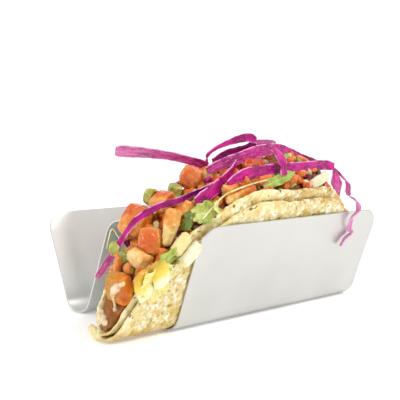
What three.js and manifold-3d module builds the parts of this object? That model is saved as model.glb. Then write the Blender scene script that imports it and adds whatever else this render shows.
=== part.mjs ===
// A taco of two corn tortillas, heaped with salsa and red cabbage, standing in a bent sheet-steel holder.
// Millimetres, +Z up. +X runs along the fold, from the open end in front to the far end.
// +Y runs across, from the laden slot of the holder to its empty one.
// Every place below is measured from the holder's front edge (x), the middle of the laden slot (y)
// and the table (z). The finished group is moved so that the middle of its footprint is the origin.

import * as THREE from "three";
import { mergeVertices } from "three/addons/utils/BufferGeometryUtils.js";
import Module from "manifold-3d";

const wasm = await Module();
wasm.setup();

const { sin, cos, sqrt, abs, min, max, sign, PI } = Math;
const DEGREE = PI / 180;

// ---- Driving dimensions ----

const HOLDER = {
  length: 146,
  height: 51,
  sheet: 1, // thickness of the steel
  lean: 20.57 * DEGREE, // of each panel from upright
  bend: 10, // outer radius of the valleys and the ridge
  corner: 11, // radius of the panels' free corners
};

const TORTILLA = { thick: 2.4, lift: 1.45, foldRadius: 8.6 };
const DROOP = 0.9; // of the stack's near tip, which nothing carries

// Each tortilla's two ends along the fold. Each side's rim is given by its greatest distance from the
// bottom of the fold and the exponent of its outline towards the near end: 2 is round, less is straighter.
const OUTER = {
  near: -38.5,
  far: 125,
  right: { rim: 66.5, nearRound: 1.5 },
  left: { rim: 57, nearRound: 1.8 },
};
const INNER = {
  near: -40,
  far: 121,
  right: { rim: 72.5, nearRound: 1.45 },
  left: { rim: 61, nearRound: 1.8 },
};
const FAR_ROUND = 6; // the far ends are squarer

const GAP = 0.35; // clear space kept between neighbouring pieces
const FILLING = { near: -38.5, far: 112, endLevel: 16, level: 48 }; // levels are measured along the wall
// The crest of the heap, as x and z.
const HEAP_TOP = [[-25, 34], [-10, 46], [10, 60], [30, 71], [60, 79], [85, 81], [104, 79], [114, 68]];
const FLANK_PIECES = 12; // on the side of the heap that faces the ridge

// ---- Solids ----

// A manifold solid from plain lists of coordinates and corner numbers, turned outside out if need be.
function solid(points, corners) {
  const make = (triVerts) =>
    new wasm.Manifold(
      new wasm.Mesh({
        numProp: 3,
        vertProperties: new Float32Array(points),
        triVerts: new Uint32Array(triVerts),
      }),
    );
  const made = make(corners);
  return made.volume() > 0 ? made : make(Array.from(corners).reverse());
}

function geometryOf(manifold) {
  const mesh = manifold.getMesh();
  const geometry = new THREE.BufferGeometry();
  geometry.setAttribute("position", new THREE.BufferAttribute(mesh.vertProperties, 3));
  geometry.setIndex(new THREE.BufferAttribute(mesh.triVerts, 1));
  geometry.computeVertexNormals();
  return geometry;
}

// A closed solid from two facing sheets of one grid, joined round their edge.
// `front` and `back` give a point of each sheet for u and v from -1 to 1.
function sheetSolid(columns, rows, front, back) {
  const points = [];
  const faces = [];
  const at = (side, i, j) => (side * (rows + 1) + j) * (columns + 1) + i;
  const quad = (a, b, c, d) => faces.push(a, b, c, a, c, d);
  for (const surface of [front, back]) {
    for (let j = 0; j <= rows; j++) {
      for (let i = 0; i <= columns; i++) {
        points.push(...surface((2 * i) / columns - 1, (2 * j) / rows - 1));
      }
    }
  }
  for (let j = 0; j < rows; j++) {
    for (let i = 0; i < columns; i++) {
      quad(at(0, i, j), at(0, i + 1, j), at(0, i + 1, j + 1), at(0, i, j + 1));
      quad(at(1, i, j), at(1, i, j + 1), at(1, i + 1, j + 1), at(1, i + 1, j));
    }
    quad(at(0, 0, j + 1), at(1, 0, j + 1), at(1, 0, j), at(0, 0, j));
    quad(at(0, columns, j), at(1, columns, j), at(1, columns, j + 1), at(0, columns, j + 1));
  }
  for (let i = 0; i < columns; i++) {
    quad(at(0, i, 0), at(1, i, 0), at(1, i + 1, 0), at(0, i + 1, 0));
    quad(at(0, i + 1, rows), at(1, i + 1, rows), at(1, i, rows), at(0, i, rows));
  }
  return solid(points, faces);
}

// A repeatable stream of numbers from 0 to 1.
function randomStream(seed) {
  let state = seed;
  return () => {
    state = (state * 1664525 + 1013904223) % 4294967296;
    return state / 4294967296;
  };
}

// The matrix that turns a piece by three angles in degrees and sets it down at a place.
function placing(at, turn) {
  const angles = new THREE.Euler(...turn.map((degrees) => degrees * DEGREE));
  return new THREE.Matrix4().makeRotationFromEuler(angles).setPosition(...at);
}

// A cut cube, stick or wedge of food: a box with soft edges and slightly uneven faces. `square` is the
// exponent of its roundness, and `taper` narrows its lower end. `grow` makes it larger on every side,
// to cut its neighbours clear of it.
function dice({ at, size, turn = [0, 0, 0], seed = 1, square = 5, taper = 0 }, grow) {
  const box = new THREE.BoxGeometry(1, 1, 1, 2, 2, 2);
  box.deleteAttribute("normal");
  box.deleteAttribute("uv");
  const geometry = mergeVertices(box, 1e-4);
  const position = geometry.attributes.position;
  const next = randomStream(seed * 7919);
  const point = new THREE.Vector3();
  const place = placing(at, turn);
  for (let k = 0; k < position.count; k++) {
    point.fromBufferAttribute(position, k);
    const reach = (abs(point.x) ** square + abs(point.y) ** square + abs(point.z) ** square) ** (1 / square);
    const uneven = 1 + 0.14 * (next() - 0.5);
    point.multiplyScalar((0.5 * uneven) / reach);
    const narrow = 1 - taper * (0.5 - point.z);
    point.x *= size[0] * narrow + 2 * grow;
    point.y *= size[1] * narrow + 2 * grow;
    point.z *= size[2] + 2 * grow;
    point.applyMatrix4(place);
    position.setXYZ(k, point.x, point.y, point.z);
  }
  return solid(position.array, geometry.index.array);
}

// A shred of leaf or a stem: a strip swept along a curve. Its width stands upright, turned by `roll`
// degrees from the start to the end of the path, and both ends narrow to `tip` of its width.
function shred({ path, width, thick = 1.1, roll = [0, 0], steps = 16, tip = 0.6 }, grow) {
  const places = path.map((place) => new THREE.Vector3(...place));
  const curve = new THREE.CatmullRomCurve3(places, false, "centripetal");
  const surface = (side) => (u, v) => {
    const share = (u + 1) / 2;
    const tangent = curve.getTangentAt(share);
    const angle = (roll[0] + (roll[1] - roll[0]) * share) * DEGREE;
    const across = new THREE.Vector3(0, 0, 1).addScaledVector(tangent, -tangent.z).normalize();
    across.applyAxisAngle(tangent, angle);
    const through = tangent.clone().cross(across);
    const taper = tip + (1 - tip) * min(1, min(share, 1 - share) / 0.15);
    const half = 0.5 * width * taper * (1 + 0.08 * sin(9 * share + width)) + grow;
    const beyond = abs(u) === 1 ? sign(u) * grow : 0;
    return curve
      .getPointAt(share)
      .addScaledVector(tangent, beyond)
      .addScaledVector(across, v * half)
      .addScaledVector(through, side * (thick / 2 + grow))
      .toArray();
  };
  return sheetSolid(steps, 1, surface(1), surface(-1));
}

// A torn leaf: a thin wavy sheet with a rounded outline, cupped across its length.
function leaf({ at, length, width, turn = [0, 0, 0], thick = 1, cup = 2, wave = 0.7 }, grow) {
  const place = placing(at, turn);
  const surface = (side) => (u, v) => {
    const along = (0.5 * length + grow) * u * sqrt(1 - v ** 2 / 2);
    const across = (0.5 * width + grow) * v * sqrt(1 - u ** 2 / 2);
    const lift = cup * (v ** 2 - 0.5) + wave * sin(4 * u + 2 * v + length);
    const through = side * (thick / 2 + grow);
    return new THREE.Vector3(along, across, lift + through).applyMatrix4(place).toArray();
  };
  return sheetSolid(6, 4, surface(1), surface(-1));
}

// ---- Holder: one sheet bent into two valleys with a ridge between ----

const SHEET_RADIUS = HOLDER.bend - HOLDER.sheet / 2; // of the bends, at the middle of the sheet
const BEND_TURN = PI / 2 - HOLDER.lean; // from the middle of a bend to a panel
const FLAT_RUN = (HOLDER.height - 2 * HOLDER.bend + 2 * SHEET_RADIUS * sin(HOLDER.lean)) / cos(HOLDER.lean);
const PITCH = 2 * SHEET_RADIUS * cos(HOLDER.lean) + FLAT_RUN * sin(HOLDER.lean); // from valley to ridge

// Rows of the sheet's middle from the laden slot's outer rim to the empty slot's outer rim. A row has
// its place, the direction of the upper face there, and its distance from the nearer rim.
function holderRows() {
  const { sheet, height, lean, bend, corner } = HOLDER;
  const rimRun = (height - bend + (SHEET_RADIUS - sheet / 2) * sin(lean)) / cos(lean);
  const rows = [];
  const panelRow = (middle, side, fromRim) => {
    rows.push({
      y: middle + side * (SHEET_RADIUS * cos(lean) + (rimRun - fromRim) * sin(lean)),
      z: bend - SHEET_RADIUS * sin(lean) + (rimRun - fromRim) * cos(lean),
      facing: [-side * cos(lean), sin(lean)],
      fromRim,
    });
  };
  const bendRows = (middle, centre, up) => {
    const steps = 9;
    for (let k = 0; k <= steps; k++) {
      const angle = BEND_TURN * ((2 * k) / steps - 1);
      rows.push({
        y: middle + SHEET_RADIUS * sin(angle),
        z: centre - up * SHEET_RADIUS * cos(angle),
        facing: [-up * sin(angle), cos(angle)],
        fromRim: corner,
      });
    }
  };
  const cornerSteps = 5;
  const cornerDistance = (k) => corner * (1 - cos((k * PI) / (2 * cornerSteps)));
  for (let k = 0; k <= cornerSteps; k++) panelRow(0, -1, cornerDistance(k));
  bendRows(0, bend, 1);
  bendRows(PITCH, height - bend, -1);
  bendRows(2 * PITCH, bend, 1);
  for (let k = cornerSteps; k >= 0; k--) panelRow(2 * PITCH, 1, cornerDistance(k));
  return rows;
}

function holder() {
  const { length, sheet, corner } = HOLDER;
  const rows = holderRows();
  const surface = (side) => (u, v) => {
    const row = rows[Math.round(((v + 1) / 2) * (rows.length - 1))];
    const inset = corner - sqrt(max(0, corner ** 2 - (corner - row.fromRim) ** 2));
    const x = length / 2 + u * (length / 2 - inset);
    return [x, row.y + (side * row.facing[0] * sheet) / 2, row.z + (side * row.facing[1] * sheet) / 2];
  };
  return sheetSolid(1, rows.length - 1, surface(1), surface(-1));
}

// ---- Tortillas: two rounds folded together ----

// The outside of the folded stack in cross-section, from the bottom of the fold: the fold itself,
// the flat wall that leans on the holder, and the free part, which curls in a little.
const FOLD_ARC = TORTILLA.foldRadius * BEND_TURN;
const WALL_PROFILE = [
  { length: FOLD_ARC, turn: BEND_TURN },
  { length: 46, turn: 0 },
  { length: 24, turn: 24 * DEGREE },
];

// The place and heading at a distance along a chain of straight and round stretches.
function walk(profile, distance) {
  const end = { y: 0, z: 0, heading: 0 };
  let left = distance;
  for (const { length, turn } of profile) {
    const part = max(0, min(left, length));
    const bend = (turn * part) / length;
    const chord = bend ? ((2 * part) / bend) * sin(bend / 2) : part;
    end.y += chord * cos(end.heading + bend / 2);
    end.z += chord * sin(end.heading + bend / 2);
    end.heading += bend;
    left -= part;
  }
  return end;
}

// How far the stack bows in from its smooth fold, in gentle waves that grow towards the rims.
function bow(x, arc) {
  const rise = min(1, abs(arc) / OUTER.right.rim);
  return rise * (0.5 + 0.3 * sin(x / 9 + sign(arc)) + 0.2 * sin(x / 4.3 + arc / 11));
}

// A point of the stack. `arc` is measured along its outside from the bottom of the fold, negative
// on the right, and `depth` goes in through the layers.
function stackPoint(x, arc, depth) {
  const { y, z, heading } = walk(WALL_PROFILE, abs(arc));
  const inward = depth + bow(x, arc);
  const bottom = TORTILLA.lift - DROOP * max(0, -x / 40) ** 1.5;
  return [x, sign(arc) * (y - inward * sin(heading)), bottom + z + inward * cos(heading)];
}

const outlineExponent = (edge, share) => (share < 0 ? edge.nearRound : FAR_ROUND);

// The distance from the fold to a tortilla's rim, at a place along it and on one side.
function rimArc(round, x, side) {
  const edge = side < 0 ? round.right : round.left;
  const share = (2 * x - round.near - round.far) / (round.far - round.near);
  const exponent = outlineExponent(edge, share);
  return edge.rim * max(0, 1 - abs(share) ** exponent) ** (1 / exponent);
}

// Rows of a grid from rim to rim: the middle third of them lies in the fold, where the stack bends.
function spread(v, rim) {
  const foldShare = FOLD_ARC / rim;
  const beyond = 1.5 * (abs(v) - 1 / 3);
  return sign(v) * (beyond < 0 ? 3 * abs(v) * foldShare : foldShare + beyond * (1 - foldShare));
}

function tortilla(round, depth, grow) {
  const middle = (round.near + round.far) / 2;
  const half = (round.far - round.near) / 2 + grow;
  const surface = (layerDepth) => (u, row) => {
    const edge = row < 0 ? round.right : round.left;
    const v = spread(row, edge.rim);
    const exponent = outlineExponent(edge, u);
    const norm = (abs(u) ** exponent + abs(v) ** exponent) ** (1 / exponent);
    const ragged = 1 + 0.01 * sin(7 * u + 5 * v) + 0.008 * sin(17 * v - 9 * u);
    const reach = (ragged * max(abs(u), abs(v))) / max(norm, 1e-6);
    return stackPoint(middle + half * reach * u, (edge.rim + grow) * reach * v, layerDepth);
  };
  return sheetSolid(20, 18, surface(depth - grow), surface(depth + TORTILLA.thick + grow));
}

const INNER_DEPTH = TORTILLA.thick + GAP; // from the outside of the stack to the inner tortilla
const outerTortilla = (grow) => tortilla(OUTER, 0, grow);
const innerTortilla = (grow) => tortilla(INNER, INNER_DEPTH, grow);

// ---- Cooked filling and the heap of salsa on it ----

const FILL_DEPTH = INNER_DEPTH + TORTILLA.thick + GAP;
const HEAP_DEPTH = FILL_DEPTH + 0.8;

// The filling's level, as a distance along the wall, at a place along the taco.
function fillingArc(x, side) {
  const share = min(1, abs((2 * x - FILLING.near - FILLING.far) / (FILLING.far - FILLING.near)));
  const level = FILLING.endLevel + (FILLING.level - FILLING.endLevel) * sqrt(1 - share ** 4);
  return max(2, min(level, rimArc(INNER, x, side) - 1.4));
}

// The filling's top, from -1 at the right wall to 1 at the left one.
function fillingTop(x, across) {
  const [, y, z] = stackPoint(x, sign(across || 1) * fillingArc(x, across), FILL_DEPTH);
  return [x, abs(across) * y, z];
}

function filling(grow) {
  const alongOf = (u) => (FILLING.near + FILLING.far) / 2 + (u * (FILLING.far - FILLING.near)) / 2;
  const under = (u, v) => {
    const level = fillingArc(alongOf(u), v) - 1;
    return stackPoint(alongOf(u), level * spread(v, level), FILL_DEPTH - grow);
  };
  const over = (u, v) => {
    const [x, y, z] = fillingTop(alongOf(u), v);
    return [x, y, z + grow];
  };
  return sheetSolid(16, 12, under, over);
}

const heapCurve = new THREE.SplineCurve(HEAP_TOP.map(([x, z]) => new THREE.Vector2(x, z)));

// The heap's upper face, from -1 at the right wall to 1 at the left one.
function heapPoint(along, across) {
  const { x, y: top } = heapCurve.getPoint(along);
  const edgeArc = max(fillingArc(x, across) + 1, rimArc(INNER, x, across) - 4);
  const [, y, z] = stackPoint(x, sign(across || 1) * edgeArc, HEAP_DEPTH);
  const lumps = 1.1 * sin(x / 3.1 + 4 * across) * sin(x / 4.7 - 5 * across) * (1 - across ** 2);
  return [x, y * abs(across), top + (z - top) * abs(across) ** 2.4 + lumps];
}

function heapCore() {
  const over = (u, v) => heapPoint((u + 1) / 2, v);
  const under = (u, v) => {
    const { x } = heapCurve.getPoint((u + 1) / 2);
    const [, y, z] = stackPoint(x, sign(v || 1) * (fillingArc(x, v) - 1), HEAP_DEPTH);
    return [x, abs(v) * y, z];
  };
  return sheetSolid(18, 6, over, under);
}

// ---- Pieces in and on the heap ----

// Red cabbage, cut into long shreds that cross over the heap.
const CABBAGE = [
  {
    // Thin, running down over the near slope.
    path: [[-25, 20, 26], [-21, 18, 32], [-17.6, 12, 42.2], [-17.7, -0.4, 54.5], [-10.3, -6.4, 60.3],
      [-0.6, -10, 62.7], [10.5, -9.5, 65.5], [19.4, -9.5, 67.6], [29, -8.5, 70]],
    width: 3.2,
    steps: 17,
  },
  {
    path: [[5.7, -15, 61.4], [13.3, -15, 64.8], [23.6, -13, 68.6], [35.8, -10, 73.4], [53, -3, 80.5],
      [73, 0, 84]],
    width: 7,
  },
  {
    // A loop that stands on top.
    path: [[32, 1.5, 78.6], [31.4, 1.2, 82.4], [35, 0.5, 85.4], [44.6, -2, 89.2], [57, -4.5, 91.4],
      [60.8, -5, 89.2], [59.1, -3, 86.2], [44.6, -0.5, 83.2], [35, 1, 79.6]],
    width: 3.6,
    steps: 18,
  },
  {
    // Along the crest.
    path: [[28.5, -1, 75.7], [36.3, -3.5, 79], [45.7, -7, 82.2], [61, -8, 85.2], [80.6, -6, 85],
      [101.8, -5, 80], [117.7, -5, 76.8]],
    width: 6,
  },
  { path: [[68.3, 3, 88.6], [77.1, 2, 88.9], [84.5, 0, 88.1]], width: 3, steps: 6 },
  {
    // Along the right side.
    path: [[27, -16, 69.6], [36.4, -17, 73.4], [50.2, -17, 74.9], [68.7, -16, 75.9], [94.2, -15, 76.1],
      [111.7, -14, 76.1], [119, -14, 75.1]],
    width: 5.6,
  },
  // A short fold across the others.
  { path: [[68.8, -10.5, 86.5], [66, -18.5, 80.5], [65.8, -20.5, 72.4]], width: 6, roll: [80, 90], steps: 8 },
  {
    // Thin and kinked, hanging over the panel and down its outside.
    path: [[124, -13, 71.9], [127, -19, 65.4], [118, -24.5, 60], [121, -27.8, 56.5], [120, -29.4, 52],
      [116.6, -27.6, 48.2], [117.4, -25.4, 42.3], [121.4, -24, 39.1], [117.1, -22.8, 35.9],
      [114.8, -21.4, 31.8]],
    width: 3,
    roll: [80, 90],
    steps: 22,
  },
  {
    // Long and pale, sticking out over the left side.
    path: [[-7.3, 26, 85.4], [8.4, 18, 84], [20.4, 12, 82], [26.3, 9, 80.4], [36, 5, 77.4]],
    width: 5.6,
    roll: [10, 30],
  },
  {
    // A short end that hangs over the far end.
    path: [[118.5, -15, 72.6], [117.8, -16.6, 67], [116, -18.4, 60.5], [114, -18.6, 54.5]],
    width: 5.5,
    roll: [85, 90],
    steps: 6,
    tip: 0.4,
  },
];

// Two more shreds lie over the flank that faces the ridge.
for (const [start, across] of [[0.25, 0.5], [0.5, 0.35]]) {
  const path = [0, 1, 2, 3, 4, 5].map((k) => {
    const [x, y, z] = heapPoint(start + 0.075 * k, across + 0.14 * sin(2 * k));
    return [x, y + 2, z + 6];
  });
  CABBAGE.push({ path, width: 3.2, roll: [40, 60], steps: 12 });
}

// Tomato, cut into uneven cubes and wedges.
const TOMATOES = [
  { at: [-9.5, 9, 52.5], size: [14, 13, 17], turn: [15, 25, 20] },
  { at: [-14, -5, 44.5], size: [12, 12, 15], turn: [-10, 15, 40], square: 3 },
  { at: [1, 2, 62], size: [13, 10, 8], turn: [10, -20, 15] },
  { at: [-8.2, -12, 50.5], size: [10, 7, 20], turn: [0, 20, 10], taper: 0.5 },
  { at: [-20, -5, 37.5], size: [11, 11, 9], turn: [30, 10, 0] },
  { at: [21.5, 3, 72], size: [13, 12, 13], turn: [15, 20, 35], square: 3 },
  { at: [29.5, -15.5, 66.5], size: [10, 7, 8], turn: [20, -15, 15] },
  { at: [55.5, -9, 77], size: [18, 8, 9], turn: [0, 6, 10], square: 3.5 },
  { at: [53.5, -16.5, 70.2], size: [14, 6, 6], turn: [-15, -5, 5] },
  { at: [85, -14, 69], size: [9, 6, 7], turn: [-20, -10, 25] },
  { at: [4, -10, 58.5], size: [8, 8, 9], turn: [10, 30, 60] },
  { at: [33.5, -19.3, 63.8], size: [24, 4.5, 6.5], turn: [-5, -14, 0] },
  { at: [39.5, -15.5, 70.3], size: [9, 6, 8], turn: [10, 10, 20] },
];

// Onion, cut into blocky sticks.
const ONIONS = [
  { at: [-8.5, -19.5, 44], size: [12, 4.5, 6.5], turn: [0, -42, -4] },
  { at: [-5, -21.8, 39.4], size: [14, 4.5, 6], turn: [0, -38, -4] },
  { at: [99.5, -18, 68.7], size: [21, 3, 6], turn: [-10, -16, 3] },
];

// Green pieces of avocado and pepper.
const GREENS = [
  { at: [0.5, 9, 63.3], size: [9, 7, 8], turn: [0, 20, 30] },
  { at: [13.5, 6, 66.3], size: [9, 7, 6], turn: [20, 0, 50] },
  { at: [-19.5, 5, 37], size: [8, 6, 7], turn: [0, 10, 20] },
  { at: [0.5, -15, 53.5], size: [2.5, 6, 11], turn: [0, 25, 20], square: 3 },
];

// The flank that faces the ridge carries more of the same, spread evenly with seeded sizes and turns.
function flankPieces() {
  const next = randomStream(11);
  const between = (low, high) => low + (high - low) * next();
  const pieces = [];
  for (let k = 0; k < FLANK_PIECES; k++) {
    const along = 0.16 + (0.8 * k) / (FLANK_PIECES - 1);
    const at = heapPoint(along, 0.25 + 0.38 * (k % 2) + between(-0.06, 0.06));
    const size = [between(10, 13), between(8, 11), between(8, 11)];
    pieces.push({ at, size, turn: [between(-30, 30), between(-30, 30), between(0, 90)], square: 4 });
  }
  return pieces;
}
const flank = flankPieces();
const isOnion = (k) => k % 6 === 3;
const isGreen = (k) => k % 4 === 2;
ONIONS.push(...flank.filter((piece, k) => isOnion(k)).map((piece) => ({ ...piece, size: [14, 4, 5] })));
GREENS.push(...flank.filter((piece, k) => isGreen(k) && !isOnion(k)));
TOMATOES.push(...flank.filter((piece, k) => !isGreen(k) && !isOnion(k)));

// Yellow wedges that hang out over the near edge of the right wall.
const WEDGES = [
  { at: [-29.6, -16.7, 27.4], size: [10.5, 5, 15.5], turn: [12, -26, 10], square: 3.5 },
  { at: [-22.9, -20.2, 32.2], size: [10, 4.5, 14], turn: [12, -22, 0], square: 3.5 },
];

// Leaves of lettuce and coriander.
const LEAVES = [
  { at: [-22.5, -17.9, 28], length: 24, width: 19, turn: [110, 12, 0], cup: 1.2, wave: 0.5 },
  { at: [-18.5, -20, 37], length: 18, width: 12, turn: [108, 20, 8], cup: 1.5 },
  { at: [8.5, -19.5, 57], length: 17, width: 10, turn: [70, -15, 0], cup: 2 },
  { at: [13, -21.8, 59.5], length: 10, width: 6, turn: [80, 30, 0], cup: 1 },
  { at: [62.3, -20, 70.4], length: 25, width: 6, turn: [60, -9, -3], cup: 0.8, wave: 0.4 },
  { at: [-21, 12, 40.5], length: 9, width: 6, turn: [60, -30, 60], cup: 1 },
];

// Thin stems of sprouts.
const STEM = { width: 1.2, thick: 1 };
const STEMS = [
  {
    // Along the rim of the right wall.
    path: [[2, -22.6, 54.6], [10.2, -22, 59.8], [17.8, -22, 64.6], [28.9, -21.6, 67.4], [41.4, -21, 69.4],
      [52, -20.6, 70.6]],
  },
  { path: [[-22.9, 15, 40], [-21.9, 14.5, 45.3], [-20.4, 14, 49.2], [-18, 13, 46.2], [-17.4, 11, 42.9]] },
];

// A cooked chunk that shows at the near end, in front of the filling.
const CHUNK = { at: [-32, -3.2, 25], size: [7, 13, 14.5], turn: [8, -14, 0], square: 7, seed: 5 };

// Every piece is made at its true size, or `grow` larger on every side, to cut its neighbours.
// The nested ones follow the fold inside the tortillas that wrap them, clear of them as they are made.
const look = (color, roughness, metalness = 0) => ({ color, roughness, metalness });
const named = (name, list, shape, finish) =>
  list.map((piece, k) => ({
    name: `${name}_${k + 1}`,
    finish,
    make: (grow) => shape({ seed: k + 1, ...piece }, grow),
  }));

const PIECES = [
  { name: "holder", finish: look("#d4d2cf", 0.35, 1), make: holder },
  { name: "tortilla_outer", finish: look("#ead79a", 0.85), make: outerTortilla, wraps: true },
  { name: "tortilla_inner", finish: look("#ead79a", 0.85), make: innerTortilla, wraps: true, nested: true },
  ...named("red_cabbage", CABBAGE, shred, look("#b3258f", 0.45)),
  ...named("tomato", TOMATOES, dice, look("#e0552b", 0.3)),
  ...named("onion", ONIONS, dice, look("#f0e3b4", 0.4)),
  ...named("avocado", GREENS, dice, look("#a9b24a", 0.45)),
  ...named("yellow_wedge", WEDGES, dice, look("#e8c81e", 0.4)),
  { name: "filling_chunk", finish: look("#cf7a26", 0.6), make: (grow) => dice(CHUNK, grow) },
  ...named("leaf", LEAVES, leaf, look("#b5c765", 0.55)),
  ...named("stem", STEMS, (piece, grow) => shred({ ...piece, ...STEM }, grow), look("#d5cf8f", 0.5)),
  { name: "filling", finish: look("#8a4b22", 0.7), make: filling, nested: true },
  { name: "salsa", finish: look("#b5552c", 0.5), make: heapCore, nested: true },
];

// ---- Fitting: each piece is cut clear of the ones before it ----

function touches(a, b) {
  const [first, second] = [a.boundingBox(), b.boundingBox()];
  return [0, 1, 2].every((n) => first.min[n] < second.max[n] && second.min[n] < first.max[n]);
}

// The largest body of a solid, so that the scraps of a cut are dropped.
function largestBody(manifold) {
  return manifold.decompose().reduce((best, body) => (body.volume() > best.volume() ? body : best));
}

function fitTogether(pieces) {
  const placed = [];
  for (const piece of pieces) {
    let body = piece.make(0);
    for (const { cutter, wraps } of placed) {
      const clear = wraps && piece.nested;
      if (!clear && touches(body, cutter)) body = body.subtract(cutter);
    }
    body = largestBody(body);
    placed.push({ ...piece, body, cutter: piece.make(GAP) });
  }
  return placed;
}

const group = new THREE.Group();
for (const { name, finish, body } of fitTogether(PIECES)) {
  const mesh = new THREE.Mesh(geometryOf(body), new THREE.MeshStandardMaterial(finish));
  mesh.name = name;
  group.add(mesh);
}

const bounds = new THREE.Box3().setFromObject(group);
const footprint = bounds.getCenter(new THREE.Vector3()).setZ(bounds.min.z);
group.position.sub(footprint);

export default group;
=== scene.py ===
# %% [markdown]
# # A taco in its steel holder
# Two corn tortillas are folded round a cooked filling, heaped with chopped salsa and shreds of red
# cabbage, and stood in one slot of a bent steel sheet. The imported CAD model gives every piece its
# place. Here each piece gets its real surface: crumb and char on the tortillas, wet cut faces on the
# vegetables, torn edges and veins on the shreds, and a satin finish on the steel.

from math import cos, pi, radians, sin, sqrt

import bmesh
import bpy
import numpy as np
from mathutils import Matrix, Vector, noise
from mathutils.bvhtree import BVHTree


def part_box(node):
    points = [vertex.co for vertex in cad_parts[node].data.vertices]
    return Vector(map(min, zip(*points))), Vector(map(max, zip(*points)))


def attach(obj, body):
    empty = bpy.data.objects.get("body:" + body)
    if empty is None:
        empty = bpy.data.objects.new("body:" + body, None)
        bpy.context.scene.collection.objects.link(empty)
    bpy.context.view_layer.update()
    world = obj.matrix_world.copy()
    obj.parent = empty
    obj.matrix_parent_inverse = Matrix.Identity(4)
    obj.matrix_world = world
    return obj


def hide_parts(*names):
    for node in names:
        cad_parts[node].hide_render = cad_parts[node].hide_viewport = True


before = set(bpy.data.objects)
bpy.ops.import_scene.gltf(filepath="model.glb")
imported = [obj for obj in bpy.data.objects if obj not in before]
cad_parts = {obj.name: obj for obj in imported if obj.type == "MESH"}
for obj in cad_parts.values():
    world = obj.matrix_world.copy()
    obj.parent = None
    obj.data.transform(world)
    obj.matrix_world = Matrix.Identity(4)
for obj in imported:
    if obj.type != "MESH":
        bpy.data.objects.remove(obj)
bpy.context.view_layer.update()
MM = 0.001

# %% [markdown]
# Places are easiest to name from the holder: x from its front edge, y from the middle of the laden
# slot, z from the table. The holder is symmetric about its ridge, so its box gives that point, and
# `spot` turns such a place in millimetres into the scene's metres.

# %% Places measured from the holder
LENGTH, HEIGHT, SHEET = 146, 51, 1  # of the holder, and the thickness of its steel
LEAN = radians(20.57)  # of each panel from upright
BEND, CORNER = 10, 11  # outer radius of the bends, and of the panels' free corners
SHEET_RADIUS = BEND - SHEET / 2
BEND_TURN = pi / 2 - LEAN
FLAT_RUN = (HEIGHT - 2 * BEND + 2 * SHEET_RADIUS * sin(LEAN)) / cos(LEAN)
PITCH = 2 * SHEET_RADIUS * cos(LEAN) + FLAT_RUN * sin(LEAN)  # from a valley to the ridge
low, high = (np.array(corner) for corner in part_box("holder"))
START = Vector((low[0], (low[1] + high[1]) / 2 - PITCH * MM, 0))


def spot(x, y, z):
    """A place in the scene, from its millimetres."""
    return START + Vector((x, y, z)) * MM


print("front edge, middle of the laden slot:", [round(c, 4) for c in START])

# %% [markdown]
# A node tree written as boxes and wires is long. Two small classes let it be written as sums:
# `Wire` is one output of a node, and Python's operators on it add the Math nodes they stand for.
# `Board` is a tree. Its `node` adds any other node, its settings first and then its sockets, and its
# shorter methods add the ones that are used most.


# %% A short way to write node trees
SEED_SHIFT = (7.3, 3.1, 5.7)  # how many lumps further along x, y and z the next seed's noise lies


class Wire:
    """One output of a node. Sums on it read as Python and add the nodes that they need."""

    def __init__(self, board, socket):
        self.board = board
        self.socket = socket

    def out(self, key):
        return Wire(self.board, self.socket.node.outputs[key])

    def math(self, operation, *others):
        return self.board.math(operation, self, *others)

    def __add__(self, other):
        return self.math("ADD", other)

    def __sub__(self, other):
        return self.math("SUBTRACT", other)

    def __rsub__(self, other):
        return self.board.math("SUBTRACT", other, self)

    def __mul__(self, other):
        return self.math("MULTIPLY", other)

    def __truediv__(self, other):
        return self.math("DIVIDE", other)

    def __rtruediv__(self, other):
        return self.board.math("DIVIDE", other, self)

    def __pow__(self, other):
        return self.math("POWER", other)

    __radd__ = __add__
    __rmul__ = __mul__


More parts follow.
